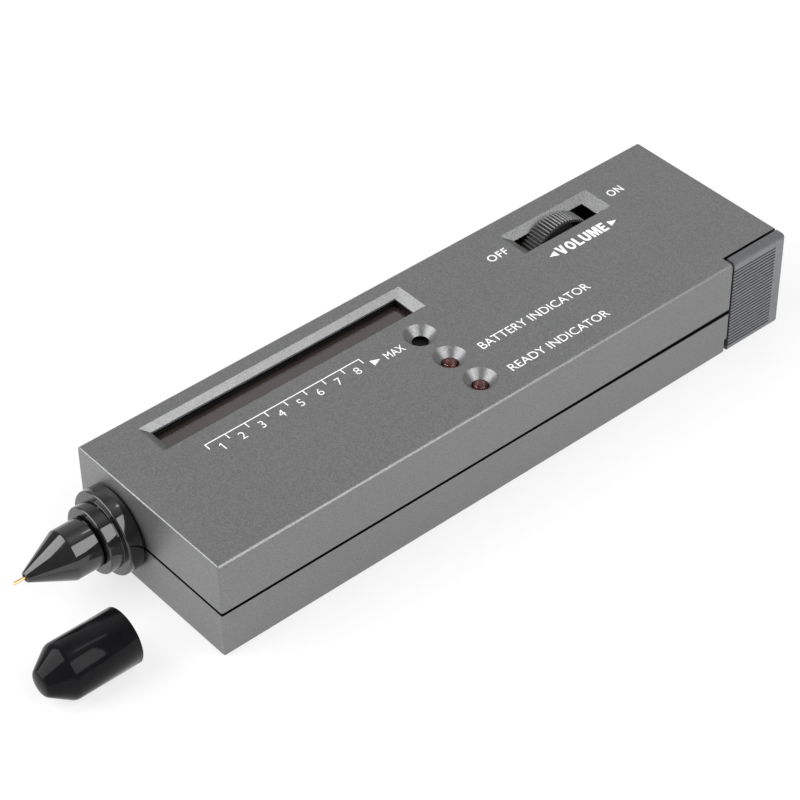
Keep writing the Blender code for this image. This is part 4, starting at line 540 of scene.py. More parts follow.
def case_paint():
    """Grey paint with a fine metallic sparkle outside, and bare black inside that hardly shines; the
    bare black beside the parting line and in the hollows by the cover is partly painted shade.
    """
    material, tree, shader, place = new_material(
        "case_paint", PAINT_COLOUR, PAINT_ROUGHNESS, PAINT_METALLIC
    )
    x, y, z = split(tree, place)
    painted = math_node(tree, "GREATER_THAN", math_node(tree, "ABSOLUTE", y), FAR - PAINT_MARGIN)
    for value, operation, limit in (
        (x, "LESS_THAN", FRONT + PAINT_MARGIN), (x, "GREATER_THAN", REAR - PAINT_MARGIN),
        (z, "GREATER_THAN", TOP - RIM_MARGIN), (z, "LESS_THAN", PAINT_MARGIN),
    ):
        painted = math_node(tree, "MAXIMUM", painted, math_node(tree, operation, value, limit))
    # Bare band beside the parting line: bare plastic at the gap, and painted shade where it widens
    # towards the rear
    from_parting = math_node(tree, "ABSOLUTE", math_node(tree, "SUBTRACT", z, PARTING_HEIGHT))
    bare_and_shade_band = remap(tree, x, PARTING_BARE_AND_SHADE, PARTING_BARE_AND_SHADE_REAR, 0, REAR)
    painted = multiply(tree, painted, math_node(tree, "GREATER_THAN", from_parting, bare_and_shade_band))
    # Hollows under the battery cover stay bare black, partly as painted shade of the gaps
    for low, high in BARE_AND_SHADED_POCKETS:
        pocket = 1.0
        for value, start, end in zip((x, y, z), low, high):
            pocket = multiply(tree, pocket, within(tree, value, start, end))
        painted = multiply(tree, painted, math_node(tree, "SUBTRACT", 1.0, pocket))
    paint = shades(tree, place, PAINT_COLOUR, size=0.28 * MM, depth=PAINT_SPARKLE_DEPTH,
                   detail=3, roughness=0.7)
    blotch = remap(tree, noise(tree, place, size=14 * MM), 0, PAINT_BLOTCH_SHARE)
    paint = mix_colour(tree, blotch, paint, PAINT_BLOTCH_COLOUR)
    link(tree, mix_colour(tree, painted, BARE_AND_SHADE_COLOUR, paint), shader.inputs["Base Color"])
    link(tree, remap(tree, painted, 1.0, PAINT_METALLIC, 0, 1), shader.inputs["Metallic"])
    wear(tree, shader, place, size=0.5 * MM, low=PAINT_ROUGHNESS - PAINT_ROUGHNESS_SPREAD,
         high=PAINT_ROUGHNESS + PAINT_ROUGHNESS_SPREAD)
    relief = noise(tree, place, size=0.22 * MM, roughness=0.6)
    bump(tree, shader, relief, distance=0.012 * MM, strength=0.5, edge=PAINTED_EDGE)
    return material


def moulded_plastic(name, colour, roughness, depth=PLASTIC_SHADES):
    """Plain moulded plastic with a faint grain and shades of the given depth."""
    material, tree, shader, place = new_material(name, colour, roughness)
    tint(tree, shader, place, colour, PLASTIC_SHADE, depth)
    wear(tree, shader, place, PLASTIC_WEAR, roughness - PLASTIC_ROUGHNESS_SPREAD,
         roughness + PLASTIC_ROUGHNESS_SPREAD)
    plastic_relief(tree, shader, place)
    return material


def wheel_plastic():
    """Black plastic: worn to a sheen on the crests of the ribs and dull below them, where painted shade
    darkens it.
    """
    dull, worn = WHEEL_ROUGHNESS
    material, tree, shader, place = new_material(
        "wheel_plastic", WHEEL_COLOUR, worn, Specular_IOR_Level=1.0
    )
    x, _, z = split(tree, place)
    reach = math_node(tree, "SQRT", math_node(tree, "ADD", multiply(tree, x, x), multiply(tree, z, z)))
    # Painted shade and dull roughness below the crests, sheen on them
    crest = remap(tree, reach, 0, 1, WHEEL_DULL_SHADED_RADIUS, WHEEL_WORN_UNSHADED_RADIUS)
    base = shades(tree, place, WHEEL_COLOUR, PLASTIC_SHADE, PLASTIC_SHADES)
    link(tree, mix_colour(tree, crest, WHEEL_PAINTED_SHADE_COLOUR, base), shader.inputs["Base Color"])
    link(tree, remap(tree, crest, dull, worn, 0, 1), shader.inputs["Roughness"])
    plastic_relief(tree, shader, place)
    return material


def cover_plastic():
    """Grained grey plastic with painted shade: a little darker on its upper face, and dark in its
    grooves.
    """
    low, high = COVER_ROUGHNESS
    material, tree, shader, place = new_material("cover_plastic", COVER_COLOUR, (low + high) / 2)
    x, y, z = split(tree, place)
    plain = shades(tree, place, COVER_COLOUR, PLASTIC_SHADE, COVER_SHADES)
    # Painted shade that makes the upper face darker
    start, end = (TOP - depth for depth in COVER_TOP_PAINTED_SHADE_FADE)
    painted_shade = remap(tree, z, 1.0, COVER_TOP_PAINTED_SHADE, start, end)
    grooves_end = COVER_GROOVE_START + COVER_GROOVES * COVER_GROOVE_PITCH
    grooved = multiply(tree, math_node(tree, "LESS_THAN", x, COVER_GROOVE_BACK),
                       math_node(tree, "LESS_THAN", z, grooves_end))
    # Painted shade deep in the grooves
    start, end = (depth - FAR for depth in COVER_GROOVE_PAINTED_SHADE_FADE)
    groove_shade = multiply(tree, grooved, remap(tree, y, 0, 1, start, end))
    painted_shade = multiply(tree, painted_shade, remap(tree, groove_shade, 1.0, COVER_GROOVE_PAINTED_SHADE, 0, 1))
    shaded_colour = node(tree, "ShaderNodeVectorMath", operation="SCALE")
    link(tree, plain, shaded_colour.inputs[0])
    link(tree, painted_shade, shaded_colour.inputs["Scale"])
    link(tree, shaded_colour.outputs["Vector"], shader.inputs["Base Color"])
    wear(tree, shader, place, PLASTIC_WEAR, low, high)
    plastic_relief(tree, shader, place)
    return material


def polished_black(name, colour, roughness, specular):
    """Polished black plastic with faint wiping marks."""
    material, tree, shader, place = new_material(
        name, colour, roughness, IOR=1.5, Specular_IOR_Level=specular
    )
    tint(tree, shader, place, colour, size=3 * MM, depth=0.2)
    wear(tree, shader, place, size=4 * MM, low=roughness * 0.6, high=roughness * 1.6, detail=3)
    bump(tree, shader, noise(tree, place, size=1.5 * MM), distance=0.004 * MM, strength=0.4)
    return material


def metal(name, colour, roughness):
    """Metal with fine marks."""
    material, tree, shader, place = new_material(name, colour, roughness, metallic=1.0)
    tint(tree, shader, place, colour, size=2 * MM, depth=0.1)
    wear(tree, shader, place, size=METAL_STREAK * 4, low=roughness * 0.7, high=roughness * 1.4, detail=3)
    bump(tree, shader, noise(tree, place, METAL_STREAK, detail=3), distance=0.003 * MM, strength=0.4)
    return material


def window_plastic():
    """Tinted clear window, reddish brown, over the light bars."""
    material, tree, shader, place = new_material(
        "window_plastic", WINDOW_COLOUR, roughness=0.05,
        IOR=1.7, Transmission_Weight=0.7, Specular_IOR_Level=1.0,
    )
    tint(tree, shader, place, WINDOW_COLOUR, size=6 * MM, depth=0.12)
    bump(tree, shader, noise(tree, place, size=5 * MM), distance=0.01 * MM, strength=0.3)
    return material


def lamp_resin():
    """Clear red resin of the two small lamps."""
    material, tree, shader, place = new_material(
        "lamp_resin", LAMP_COLOUR, roughness=0.03,
        IOR=1.55, Transmission_Weight=0.95, Specular_IOR_Level=1.0,
    )
    tint(tree, shader, place, LAMP_COLOUR, size=1.2 * MM, depth=0.25)
    return material


def print_ink():
    """White printing, a little uneven."""
    material, tree, shader, place = new_material("print_ink", INK_COLOUR, roughness=0.5)
    tint(tree, shader, place, INK_COLOUR, size=0.3 * MM, depth=0.06)
    bump(tree, shader, noise(tree, place, size=0.2 * MM), distance=0.004 * MM, strength=0.4)
    return material


def circuit_board_mask():
    """Green board with tracks and solder pads."""
    material, tree, shader, place = new_material("circuit_board_mask", BOARD_COLOUR, roughness=0.35)
    tracks = node(tree, "ShaderNodeTexBrick", Scale=1 / TRACK_PITCH, Mortar_Size=TRACK_WIDTH)
    link(tree, place, tracks.inputs["Vector"])
    base = shades(tree, place, BOARD_COLOUR, size=4 * MM, depth=0.15)
    colour = mix_colour(tree, tracks.outputs["Fac"], base, TRACK_COLOUR)
    pads = node(tree, "ShaderNodeTexVoronoi", Scale=1 / PAD_PITCH, Randomness=0.15)
    link(tree, place, pads.inputs["Vector"])
    pad = math_node(tree, "LESS_THAN", pads.outputs["Distance"], PAD_RADIUS)
    link(tree, mix_colour(tree, pad, colour, PAD_COLOUR), shader.inputs["Base Color"])
    link(tree, multiply(tree, pad, PAD_METALLIC), shader.inputs["Metallic"])
    bump(tree, shader, tracks.outputs["Fac"], distance=0.02 * MM, strength=0.4)
    return material


def battery_jacket():
    """Printed metal jacket: dark with a warm band near its terminal end."""
    material, tree, shader, place = new_material(
        "battery_jacket_print", JACKET_COLOUR, roughness=0.3, metallic=0.6
    )
    x = split(tree, place)["X"]
    band_end = BATTERY_LOW.x + (BATTERY_HIGH.x - BATTERY_LOW.x) * JACKET_BAND_SHARE
    base = shades(tree, place, JACKET_COLOUR, size=5 * MM, depth=0.2)
    colour = mix_colour(tree, math_node(tree, "LESS_THAN", x, band_end), base, JACKET_BAND_COLOUR)
    link(tree, colour, shader.inputs["Base Color"])
    wear(tree, shader, place, size=3 * MM, low=0.22, high=0.4, detail=3)
    bump(tree, shader, noise(tree, place, size=2 * MM), distance=0.01 * MM, strength=0.4)
    return material


MATERIALS = {
    "case": case_paint(),
    "cover": cover_plastic(),
    "window": window_plastic(),
    "lamp": lamp_resin(),
    "wheel": wheel_plastic(),
    "nose": polished_black("gloss_black", BLACK_COLOUR, NOSE_ROUGHNESS, NOSE_SPECULAR),
    "circuit_board": circuit_board_mask(),
    "battery_jacket": battery_jacket(),
}
MATERIALS.update({slot: moulded_plastic(*row) for slot, row in PLASTICS.items()})
MATERIALS.update({slot: metal(*row) for slot, row in METALS.items()})
CAP_BLACK = polished_black("cap_black", BLACK_COLOUR, CAP_ROUGHNESS, CAP_SPECULAR)
INK = print_ink()


def add_piece(name, bm, material, body, place=(0, 0, 0), replaced=(), angle=PRINT_ANGLE):
    """Finished object from a mesh: smooth shading, material, body and the nodes it stands for."""
    bmesh.ops.recalc_face_normals(bm, faces=bm.faces)
    mesh = bpy.data.meshes.new(name)
    bm.to_mesh(mesh)
    bm.free()
    normals = mesh.attributes.get("custom_normal")
    if normals:
        mesh.attributes.remove(normals)
    mesh.shade_smooth()
    mesh.set_sharp_from_angle(angle=math.radians(angle))
    mesh.materials.append(material)
    piece = bpy.data.objects.new(name, mesh)
    piece.location = place
    bpy.context.scene.collection.objects.link(piece)
    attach(piece, body)
    if replaced:
        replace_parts(piece, *replaced)
    return piece


def add_slotted(name, bm, slot, body, **values):
    """Finished object whose material is that of a slot of the record."""
    return add_piece(name, bm, MATERIALS[slot], body, **values)


def refine_nodes(finished):
    """Each node that no other piece stands for, with its flats joined and its rounds smooth."""
    for row in frame["record"]["subparts"]:
        name = row["node"]
        if name in finished:
            continue
        bm = bmesh.new()
        bm.from_mesh(frame["nodes"][name].data)
        bmesh.ops.remove_doubles(bm, verts=bm.verts, dist=WELD_DISTANCE)
        bmesh.ops.dissolve_limit(bm, angle_limit=FLAT_ANGLE, verts=bm.verts, edges=bm.edges)
        piece = add_slotted(
            f"{name}_surface", bm, row["material_slot"], BODY_OF_NODE[name],
            replaced=[name], angle=SURFACE_ANGLE,
        )
        shade_evenly(piece)


def shade_evenly(piece):
    """Normals that follow the larger faces, so that flats stay flat beside rounds."""
    even = piece.modifiers.new("even_shading", "WEIGHTED_NORMAL")
    even.keep_sharp = True


def replaced_nodes():
    """Nodes that a piece of the scene stands for already."""
    names = set()
    for piece in bpy.context.scene.objects:
        names.update(piece.get("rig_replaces", []))
    return names


def filleted(corners):
    """Profile points with an arc at each corner that has a fillet: (radius, along, fillet)."""
    points = []
    for index, (radius, along, fillet) in enumerate(corners):
        here = Vector((radius, along))
        if not fillet or index in (0, len(corners) - 1):
            points.append(here)
            continue
        before = Vector(corners[index - 1][:2]) - here
        after = Vector(corners[index + 1][:2]) - here
        half = before.angle(after) / 2
        limit = min(before.length, after.length) * FILLET_REACH_LIMIT
        reach = min(fillet / math.tan(half), limit)
        rounded = reach * math.tan(half)
        inward = (before.normalized() + after.normalized()).normalized()
        centre = here + inward * rounded / math.sin(half)
        start = here + before.normalized() * reach - centre
        end = here + after.normalized() * reach - centre
        sweep = start.angle_signed(end)
        for step in range(FILLET_STEPS + 1):
            turned = Matrix.Rotation(-sweep * step / FILLET_STEPS, 2) @ start
            points.append(centre + turned)
    return points


def frame_along(origin, axis):
    """Placement whose Z runs along the axis from the origin."""
    turn = Vector(axis).to_track_quat("Z", "Y").to_matrix().to_4x4()
    return Matrix.Translation(origin) @ turn


def turn_profile(bm, points, placement, sides):
    """Solid of revolution of the profile about the placement's Z axis."""
    rings = []
    for radius, along in points:
        if radius < ON_AXIS:
            rings.append([bm.verts.new(placement @ Vector((0, 0, along)))])
            continue
        ring = []
        for side in range(sides):
            angle = math.tau * side / sides
            point = Vector((radius * math.cos(angle), radius * math.sin(angle), along))
            ring.append(bm.verts.new(placement @ point))
        rings.append(ring)
    for first, second in zip(rings, rings[1:]):
        for side in range(sides):
            after = (side + 1) % sides
            corners = [first[side % len(first)], first[after % len(first)],
                       second[after % len(second)], second[side % len(second)]]
            unique = list(dict.fromkeys(corners))
            if len(unique) > 2:
                bm.faces.new(unique)


def turned_piece(name, corners, origin, axis, slot, body, replaced=(), sides=ROUND_SIDES,
                 angle=TURNED_ANGLE):
    """Finished piece of revolution about an axis through the origin."""
    bm = bmesh.new()
    turn_profile(bm, filleted(corners), frame_along(origin, axis), sides)
    return add_slotted(name, bm, slot, body, replaced=replaced, angle=angle)


def make_nose():
    """Stepped collar, then the barrel with its cone and the metal pin, all polished."""
    radius = (COLLAR_HIGH.y - COLLAR_LOW.y) / 2
    origin = Vector((FRONT, NOSE_AXIS.y, NOSE_AXIS.z))
    back = FRONT - COLLAR_HIGH.x
    flange_front = back + INNER_FLANGE_THICKNESS
    step_front = FRONT - COLLAR_LOW.x
    turned_piece("collar_turning", [
        (NECK_RADIUS, back, 0), (INNER_FLANGE_RADIUS, back, FLANGE_FILLET),
        (INNER_FLANGE_RADIUS, flange_front, FLANGE_FILLET),
        (NECK_RADIUS, flange_front, 0), (NECK_RADIUS, COLLAR_BACK, 0),
        (radius - COLLAR_CHAMFER, COLLAR_BACK, 0),
        (radius, COLLAR_BACK + COLLAR_CHAMFER, FLANGE_FILLET),
        (radius, COLLAR_FRONT, COLLAR_EDGE), (STEP_RADIUS, COLLAR_FRONT, STEP_FILLET),
        (STEP_RADIUS, step_front, COLLAR_EDGE), (BARREL_CLEAR, step_front, 0),
        (BARREL_CLEAR, back, 0), (NECK_RADIUS, back, 0),
    ], origin, OUTWARD, "nose", "housing", ["nose_collar"])

    barrel = (NOSE_HIGH.y - NOSE_LOW.y) / 2
    stem_back = FRONT - NOSE_HIGH.x
    barrel_back = step_front + STEP_GAP
    cone_front = FRONT - NOSE_LOW.x
    bore_front = cone_front - BORE_DEPTH
    turned_piece("nose_turning", [
        (BORE_RADIUS, stem_back, 0), (STEM_RADIUS, stem_back, STEM_FILLET),
        (STEM_RADIUS, barrel_back, 0), (barrel - BARREL_CHAMFER, barrel_back, 0),
        (barrel, barrel_back + BARREL_CHAMFER, 0), (barrel, BARREL_FRONT, SHOULDER_FILLET),
        (CONE_END_RADIUS, cone_front, CONE_END_FILLET), (PIN_HOLE_RADIUS, cone_front, PIN_HOLE_FILLET),
        (PIN_HOLE_RADIUS, bore_front, 0), (BORE_RADIUS, bore_front, 0), (BORE_RADIUS, stem_back, 0),
    ], origin, OUTWARD, "nose", "housing", ["probe_nose"])

    shank = (TIP_HIGH.y - TIP_LOW.y) / 2
    shank_back = FRONT - TIP_HIGH.x
    shank_front = bore_front - STEP_GAP
    pin_end = FRONT - TIP_LOW.x
    turned_piece("tip_turning", [
        (0, shank_back, 0), (shank, shank_back, SHANK_FILLET), (shank, shank_front, SHANK_FILLET),
        (PIN_RADIUS, shank_front, 0), (PIN_RADIUS, pin_end, PIN_FILLET), (0, pin_end, 0),
    ], origin, OUTWARD, "copper", "tip", ["probe_tip"], SMALL_SIDES)


def make_cap():
    """Hollow protective cap with a soft shoulder and a blunt end, of a duller black than the nose.

    As in the photograph, the polished cone doesn't mirror it.
    """
    radius = (CAP_HIGH.y - CAP_LOW.y) / 2
    length = CAP_HIGH.x - CAP_LOW.x
    origin = Vector((CAP_HIGH.x, CAP_AXIS.y, CAP_AXIS.z))
    inner = radius - CAP_WALL
    inner_end = length - CAP_END_WALL
    flare, flare_depth = CAP_MOUTH_FLARE
    cap = turned_piece("cap_moulding", [
        (0, inner_end, 0), (CAP_END_RADIUS - CAP_WALL, inner_end, CAP_INNER_END_FILLET),
        (inner, CAP_INNER_SHOULDER, CAP_SHOULDER_FILLET), (inner, flare_depth, 0),
        (inner + flare, 0, 0), (radius - CAP_MOUTH_CHAMFER, 0, 0), (radius, CAP_MOUTH_CHAMFER, 0),
        (radius, CAP_SHOULDER, CAP_SHOULDER_FILLET),
        (CAP_END_RADIUS, length - CAP_END_SLOPE, CAP_END_FILLET), (0, length, 0),
    ], origin, OUTWARD, "nose", "cap", ["tip_cap"], angle=CAP_ANGLE)
    cap.data.materials[0] = CAP_BLACK
    cap.visible_glossy = False


def make_lamps():
    """Two 3 mm lamps: a domed resin body with its flange, and the metal cup inside."""
    for name in ("battery_lamp", "ready_lamp"):
        low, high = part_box(name)
        middle = (low + high) / 2
        flange = (high.x - low.x) / 2
        height = high.z - low.z
        origin = Vector((middle.x, middle.y, low.z))
        turned_piece(f"{name}_resin", [
            (0, 0, 0), (flange, 0, LAMP_FLANGE_FILLET), (flange, LAMP_FLANGE_HEIGHT, LAMP_FLANGE_FILLET),
            (LAMP_RADIUS, LAMP_FLANGE_HEIGHT, LAMP_EDGE),
            (LAMP_RADIUS, height, LAMP_RADIUS * LAMP_DOME_SHARE), (0, height, 0),
        ], origin, UP, "lamp", "housing", [name], LAMP_SIDES)
        well = LAMP_CUP_TOP - LAMP_CUP_WELL_DEPTH
        turned_piece(f"{name}_cup", [
            (0, LAMP_CUP_BOTTOM, 0), (LAMP_CUP_FOOT_RADIUS, LAMP_CUP_BOTTOM, 0),
            (LAMP_CUP_RADIUS, LAMP_CUP_TOP, LAMP_EDGE), (LAMP_CUP_MOUTH_RADIUS, LAMP_CUP_TOP, 0),
            (LAMP_CUP_WELL_RADIUS, well, 0), (0, well, 0),
        ], origin, UP, "steel", "housing", sides=SMALL_SIDES)


def make_wheel():
    """Thumbwheel with a deeply ribbed rim, a recessed web and a hub."""
    low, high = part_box("volume_wheel")
    near, far = low.y, high.y
    radius = high.z - WHEEL_AXIS.z
    steps = len(WHEEL_RIB_SHARES)
    count = round(math.tau * radius / WHEEL_RIB_PITCH) * steps
    edge = [(radius - RIM_CHAMFER * inward, RIM_CHAMFER * along) for inward, along in RIM_EDGE]
    section = [
        (WHEEL_BORE, near + HUB_RECESS, 0), (HUB_RADIUS, near + HUB_RECESS, 0), (HUB_RADIUS, near, 0),
        (WEB_INNER, near, 0), (WEB_INNER, near + WEB_RECESS, 0), (WEB_OUTER, near + WEB_RECESS, 0),
        (WEB_OUTER, near, 0),
    ]
    section += [(reach, near + along, 1) for reach, along in edge]
    section += [(reach, far - along, 1) for reach, along in reversed(edge)]
    section += [(WEB_OUTER, far, 0), (WHEEL_BORE, far, 0)]
    bm = bmesh.new()
    loops = []
    for reach, y, ribbed in section:
        loop = []
        for index in range(count):
            angle = math.tau * index / count
            ribbed_reach = reach - WHEEL_RIB_DEPTH * ribbed * (1 - WHEEL_RIB_SHARES[index % steps])
            loop.append(bm.verts.new((
                ribbed_reach * math.sin(angle), y - WHEEL_AXIS.y, ribbed_reach * math.cos(angle),
            )))
        loops.append(loop)
    for first, second in zip(loops, loops[1:] + loops[:1]):
        for index in range(count):
            after = (index + 1) % count
            bm.faces.new((first[index], first[after], second[after], second[index]))
    add_slotted("wheel_moulding", bm, "wheel", "wheel", place=WHEEL_AXIS, replaced=["volume_wheel"],
                angle=WHEEL_ANGLE)


def prism(bm, outline, low, high, placement=Matrix()):
    """Straight prism over an outline, between two heights of the placement."""
    bottom = [bm.verts.new(placement @ Vector((x, y, low))) for x, y in outline]
    top = [bm.verts.new(placement @ Vector((x, y, high))) for x, y in outline]
    bm.faces.new(reversed(bottom))
    bm.faces.new(top)
    count = len(outline)
    for index in range(count):
        after = (index + 1) % count
        bm.faces.new((bottom[index], bottom[after], top[after], top[index]))


def make_screw(name, origin, axis, sizes, length, body):
    """Pan-head screw that points along the axis from the crown of its head."""
    head, height, shank = sizes
    root = shank * (1 - THREAD_DEPTH_SHARE)
    corners = [(0, 0, 0), (head, 0, height * CROWN_FILLET_SHARE), (head, height, 0), (root, height, 0)]
    turns = int((length - height) / THREAD_PITCH)
    for turn in range(turns):
        start = height + turn * THREAD_PITCH
        corners += [
            (radius, start + THREAD_PITCH * share, 0)
            for radius, share in zip((root, shank, root), THREAD_SHARES)
        ]
    corners += [(root, length, 0), (0, length, 0)]
    placement = frame_along(origin, axis)
    bm = bmesh.new()
    turn_profile(bm, filleted(corners), placement, SMALL_SIDES)
    screw = add_slotted(f"{name}_threaded", bm, "steel", body, replaced=[name], angle=TURNED_ANGLE)

    reach = head * RECESS_REACH_SHARE
    half = head * RECESS_WIDTH_SHARE
    arm = (Vector((reach, -half)), Vector((reach, half)), Vector((half, half)))
    cross = []
    for quarter in range(4):
        turn = Matrix.Rotation(math.tau * quarter / 4, 2)
        cross += [turn @ point for point in arm]
    depth = height * RECESS_DEPTH_SHARE
    bm = bmesh.new()
    prism(bm, cross, -depth, depth, placement)
    cut_away(screw, bm, angle=TURNED_ANGLE)


def cut_away(piece, bm, angle):
    """Cuts the solid out of the piece for good; edges past the angle stay sharp."""
    piece.modifiers.clear()
    bmesh.ops.recalc_face_normals(bm, faces=bm.faces)
    mesh = bpy.data.meshes.new("cutter")
    bm.to_mesh(mesh)
    bm.free()
    cutter = bpy.data.objects.new("cutter", mesh)
    bpy.context.scene.collection.objects.link(cutter)
    cut = piece.modifiers.new("cut", "BOOLEAN")
    cut.object = cutter
    cut.operation = "DIFFERENCE"
    bpy.context.view_layer.update()
    solid = piece.evaluated_get(bpy.context.evaluated_depsgraph_get())
    done = bpy.data.meshes.new_from_object(solid)
    piece.modifiers.clear()
    piece.data = done
    done.shade_smooth()
    done.set_sharp_from_angle(angle=math.radians(angle))
    bpy.data.objects.remove(cutter)
    bpy.data.meshes.remove(mesh)


def rectangle(low, high):
    """Outline of a rectangle between two corners."""
    return [(low[0], low[1]), (high[0], low[1]), (high[0], high[1]), (low[0], high[1])]


def add_box(bm, low, high):
    """Box between its lowest and highest corner."""
    prism(bm, rectangle(low, high), low[2], high[2])


def carve_surfaces():
    """Sharp grooves in the battery cover's ribs, and the ledge under the display's bevel."""
    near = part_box("battery_cover")[0].y
    half = COVER_GROOVE_WIDTH / 2
    bm = bmesh.new()
    for index in range(COVER_GROOVES):
        height = COVER_GROOVE_START + (index + 0.5) * COVER_GROOVE_PITCH
        add_box(bm, (COVER_GROOVE_FRONT, near - COVER_GROOVE_DEPTH, height - half),
                (COVER_GROOVE_BACK, near + COVER_GROOVE_DEPTH, height + half))
    cut_away(bpy.data.objects["battery_cover_surface"], bm, SURFACE_ANGLE)
    bm = bmesh.new()
    add_box(bm, *DISPLAY_LEDGE)
    cut_away(bpy.data.objects["upper_shell_surface"], bm, SURFACE_ANGLE)
    for name in ("battery_cover_surface", "upper_shell_surface"):
        shade_evenly(bpy.data.objects[name])


def press_spring():
    """Gives the return spring a mesh of its own."""
    spring = bpy.data.objects["probe_spring_surface"]
    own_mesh(spring)


def make_screws():
    """Screws of the case, of the board and of the wheel."""
    for row in frame["record"]["subparts"]:
        name = row["node"]
        if "screw" not in name:
            continue
        low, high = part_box(name)
        middle = (low + high) / 2
        size = high - low
        if name.startswith("case"):
            make_screw(name, (middle.x, middle.y, low.z), UP, CASE_SCREW, size.z, "housing")
        elif name.startswith("board"):
            make_screw(name, (middle.x, middle.y, high.z), DOWN, BOARD_SCREW, size.z, "housing")
        else:
            make_screw(name, (middle.x, low.y, middle.z), ACROSS, WHEEL_SCREW, size.y, "wheel")


def ink_area(bm, outline):
    """Thin layer of printing over an outline on the panel."""
    prism(bm, outline, TOP - INK_SINK, TOP + INK_HEIGHT)


def raised_text(name, words, weight, spacing):
    """Mesh of words in the built-in font, one unit thick."""
    curve = bpy.data.curves.new(name, "FONT")
    curve.body = words
    curve.size = 1.0
    curve.offset = weight
    curve.space_character = spacing
    curve.extrude = 1 / 2
    curve.resolution_u = LETTER_CURVE_STEPS
    shape = bpy.data.objects.new(name, curve)
    bpy.context.scene.collection.objects.link(shape)
    bpy.context.view_layer.update()
    solid = shape.evaluated_get(bpy.context.evaluated_depsgraph_get())
    mesh = bpy.data.meshes.new_from_object(solid)
    bpy.data.objects.remove(shape)
    bpy.data.curves.remove(curve)
    return mesh


def ink_word(name, words, centre, height, width, weight, spacing):
    """Printed words, their capitals of the given height, centred and fitted to a width."""
    mesh = raised_text(name, words, weight, spacing)
    xs = [vertex.co.x for vertex in mesh.vertices]
    ys = [vertex.co.y for vertex in mesh.vertices]
    scale_y = height / (max(ys) - min(ys))
    scale_x = scale_y if width is None else width / (max(xs) - min(xs))
    middle = Vector(((max(xs) + min(xs)) / 2, (max(ys) + min(ys)) / 2, 0))
    thickness = INK_HEIGHT + INK_SINK
    place = Matrix.Translation((centre[0], centre[1], TOP - INK_SINK + thickness / 2))
    place @= Matrix.Diagonal((scale_x, scale_y, thickness, 1)) @ Matrix.Translation(-middle)
    mesh.transform(place)
    bm = bmesh.new()
    bm.from_mesh(mesh)
    bpy.data.meshes.remove(mesh)
    add_piece(name, bm, INK, "housing")


def ink_round(bm, centre, scale):
    """Bold round letter: an oval ring of printing."""
    rings = []
    for across, up in BOLD_ROUND:
        for height in (TOP - INK_SINK, TOP + INK_HEIGHT):
            ring = []
            for side in range(BOLD_ROUND_SIDES):
                angle = math.tau * side / BOLD_ROUND_SIDES
                x = centre[0] + scale * across * math.cos(angle)
                y = centre[1] + scale * up * math.sin(angle)
                ring.append(bm.verts.new((x, y, height)))
            rings.append(ring)
    outer_low, outer_high, inner_low, inner_high = rings
    around = (outer_low, outer_high, inner_high, inner_low, outer_low)
    for first, second in zip(around, around[1:]):
        for side in range(BOLD_ROUND_SIDES):
            after = (side + 1) % BOLD_ROUND_SIDES
            bm.faces.new((first[side], first[after], second[after], second[side]))


def ink_bold_word(name):
    """The word beside the thumbwheel, in bold narrow capitals."""
    bm = bmesh.new()
    x, y = BOLD_START
    for width, outline in BOLD_LETTERS:
        if outline:
            ink_area(bm, [(x + u * BOLD_HEIGHT, y + v * BOLD_HEIGHT) for u, v in outline])
        else:
            ink_round(bm, (x + width / 2 * BOLD_HEIGHT, y), BOLD_HEIGHT)
        x += (width + BOLD_GAP) * BOLD_HEIGHT
    add_piece(name, bm, INK, "housing")


def print_scale():
    """Line with ticks beside the display, and its numerals; the first one is a plain stroke."""
    bm = bmesh.new()
    end = SCALE_START + SCALE_PITCH * SCALE_STEPS
    half = SCALE_LINE / 2
    ink_area(bm, rectangle((SCALE_START - half, SCALE_Y - half), (end + half, SCALE_Y + half)))
    for step in range(SCALE_STEPS + 1):
        x = SCALE_START + SCALE_PITCH * step
        ink_area(bm, rectangle((x - half, SCALE_Y - SCALE_TICK), (x + half, SCALE_Y - half)))
    add_piece("print_scale", bm, INK, "housing")
    middle = SCALE_START + SCALE_PITCH / 2
    bm = bmesh.new()
    ink_area(bm, [
        (middle + x * SCALE_NUMERAL_HEIGHT, SCALE_NUMERAL_Y + y * SCALE_NUMERAL_HEIGHT)
        for x, y in NUMERAL_ONE
    ])
    add_piece("print_numeral_1", bm, INK, "housing")
    for step in range(1, SCALE_STEPS):
        place = (middle + SCALE_PITCH * step, SCALE_NUMERAL_Y)
        numeral = str(step + 1)
        ink_word(f"print_numeral_{numeral}", numeral, place, SCALE_NUMERAL_HEIGHT, None,
                 NUMERAL_WEIGHT, NUMERAL_SPACING)


def ink_arrow(bm, tip, y, length):
    """Printed arrowhead along X; a negative length turns it round."""
    back = tip - length
    ink_area(bm, [(back, y - ARROW_HALF), (tip, y), (back, y + ARROW_HALF)])


def make_printing():
    """Scale beside the display, marks of the two lamps and of the thumbwheel."""
    print_scale()
    bm = bmesh.new()
    ink_arrow(bm, MAX_ARROW[0] + ARROW_LENGTH / 2, MAX_ARROW[1], ARROW_LENGTH)
    left, right = VOLUME_ARROWS
    ink_arrow(bm, left, VOLUME_Y, -ARROW_LENGTH)
    ink_arrow(bm, right, VOLUME_Y, ARROW_LENGTH)
    add_piece("print_arrows", bm, INK, "housing")
    for row in PRINTED_WORDS:
        ink_word(*row)
    ink_bold_word("print_volume")


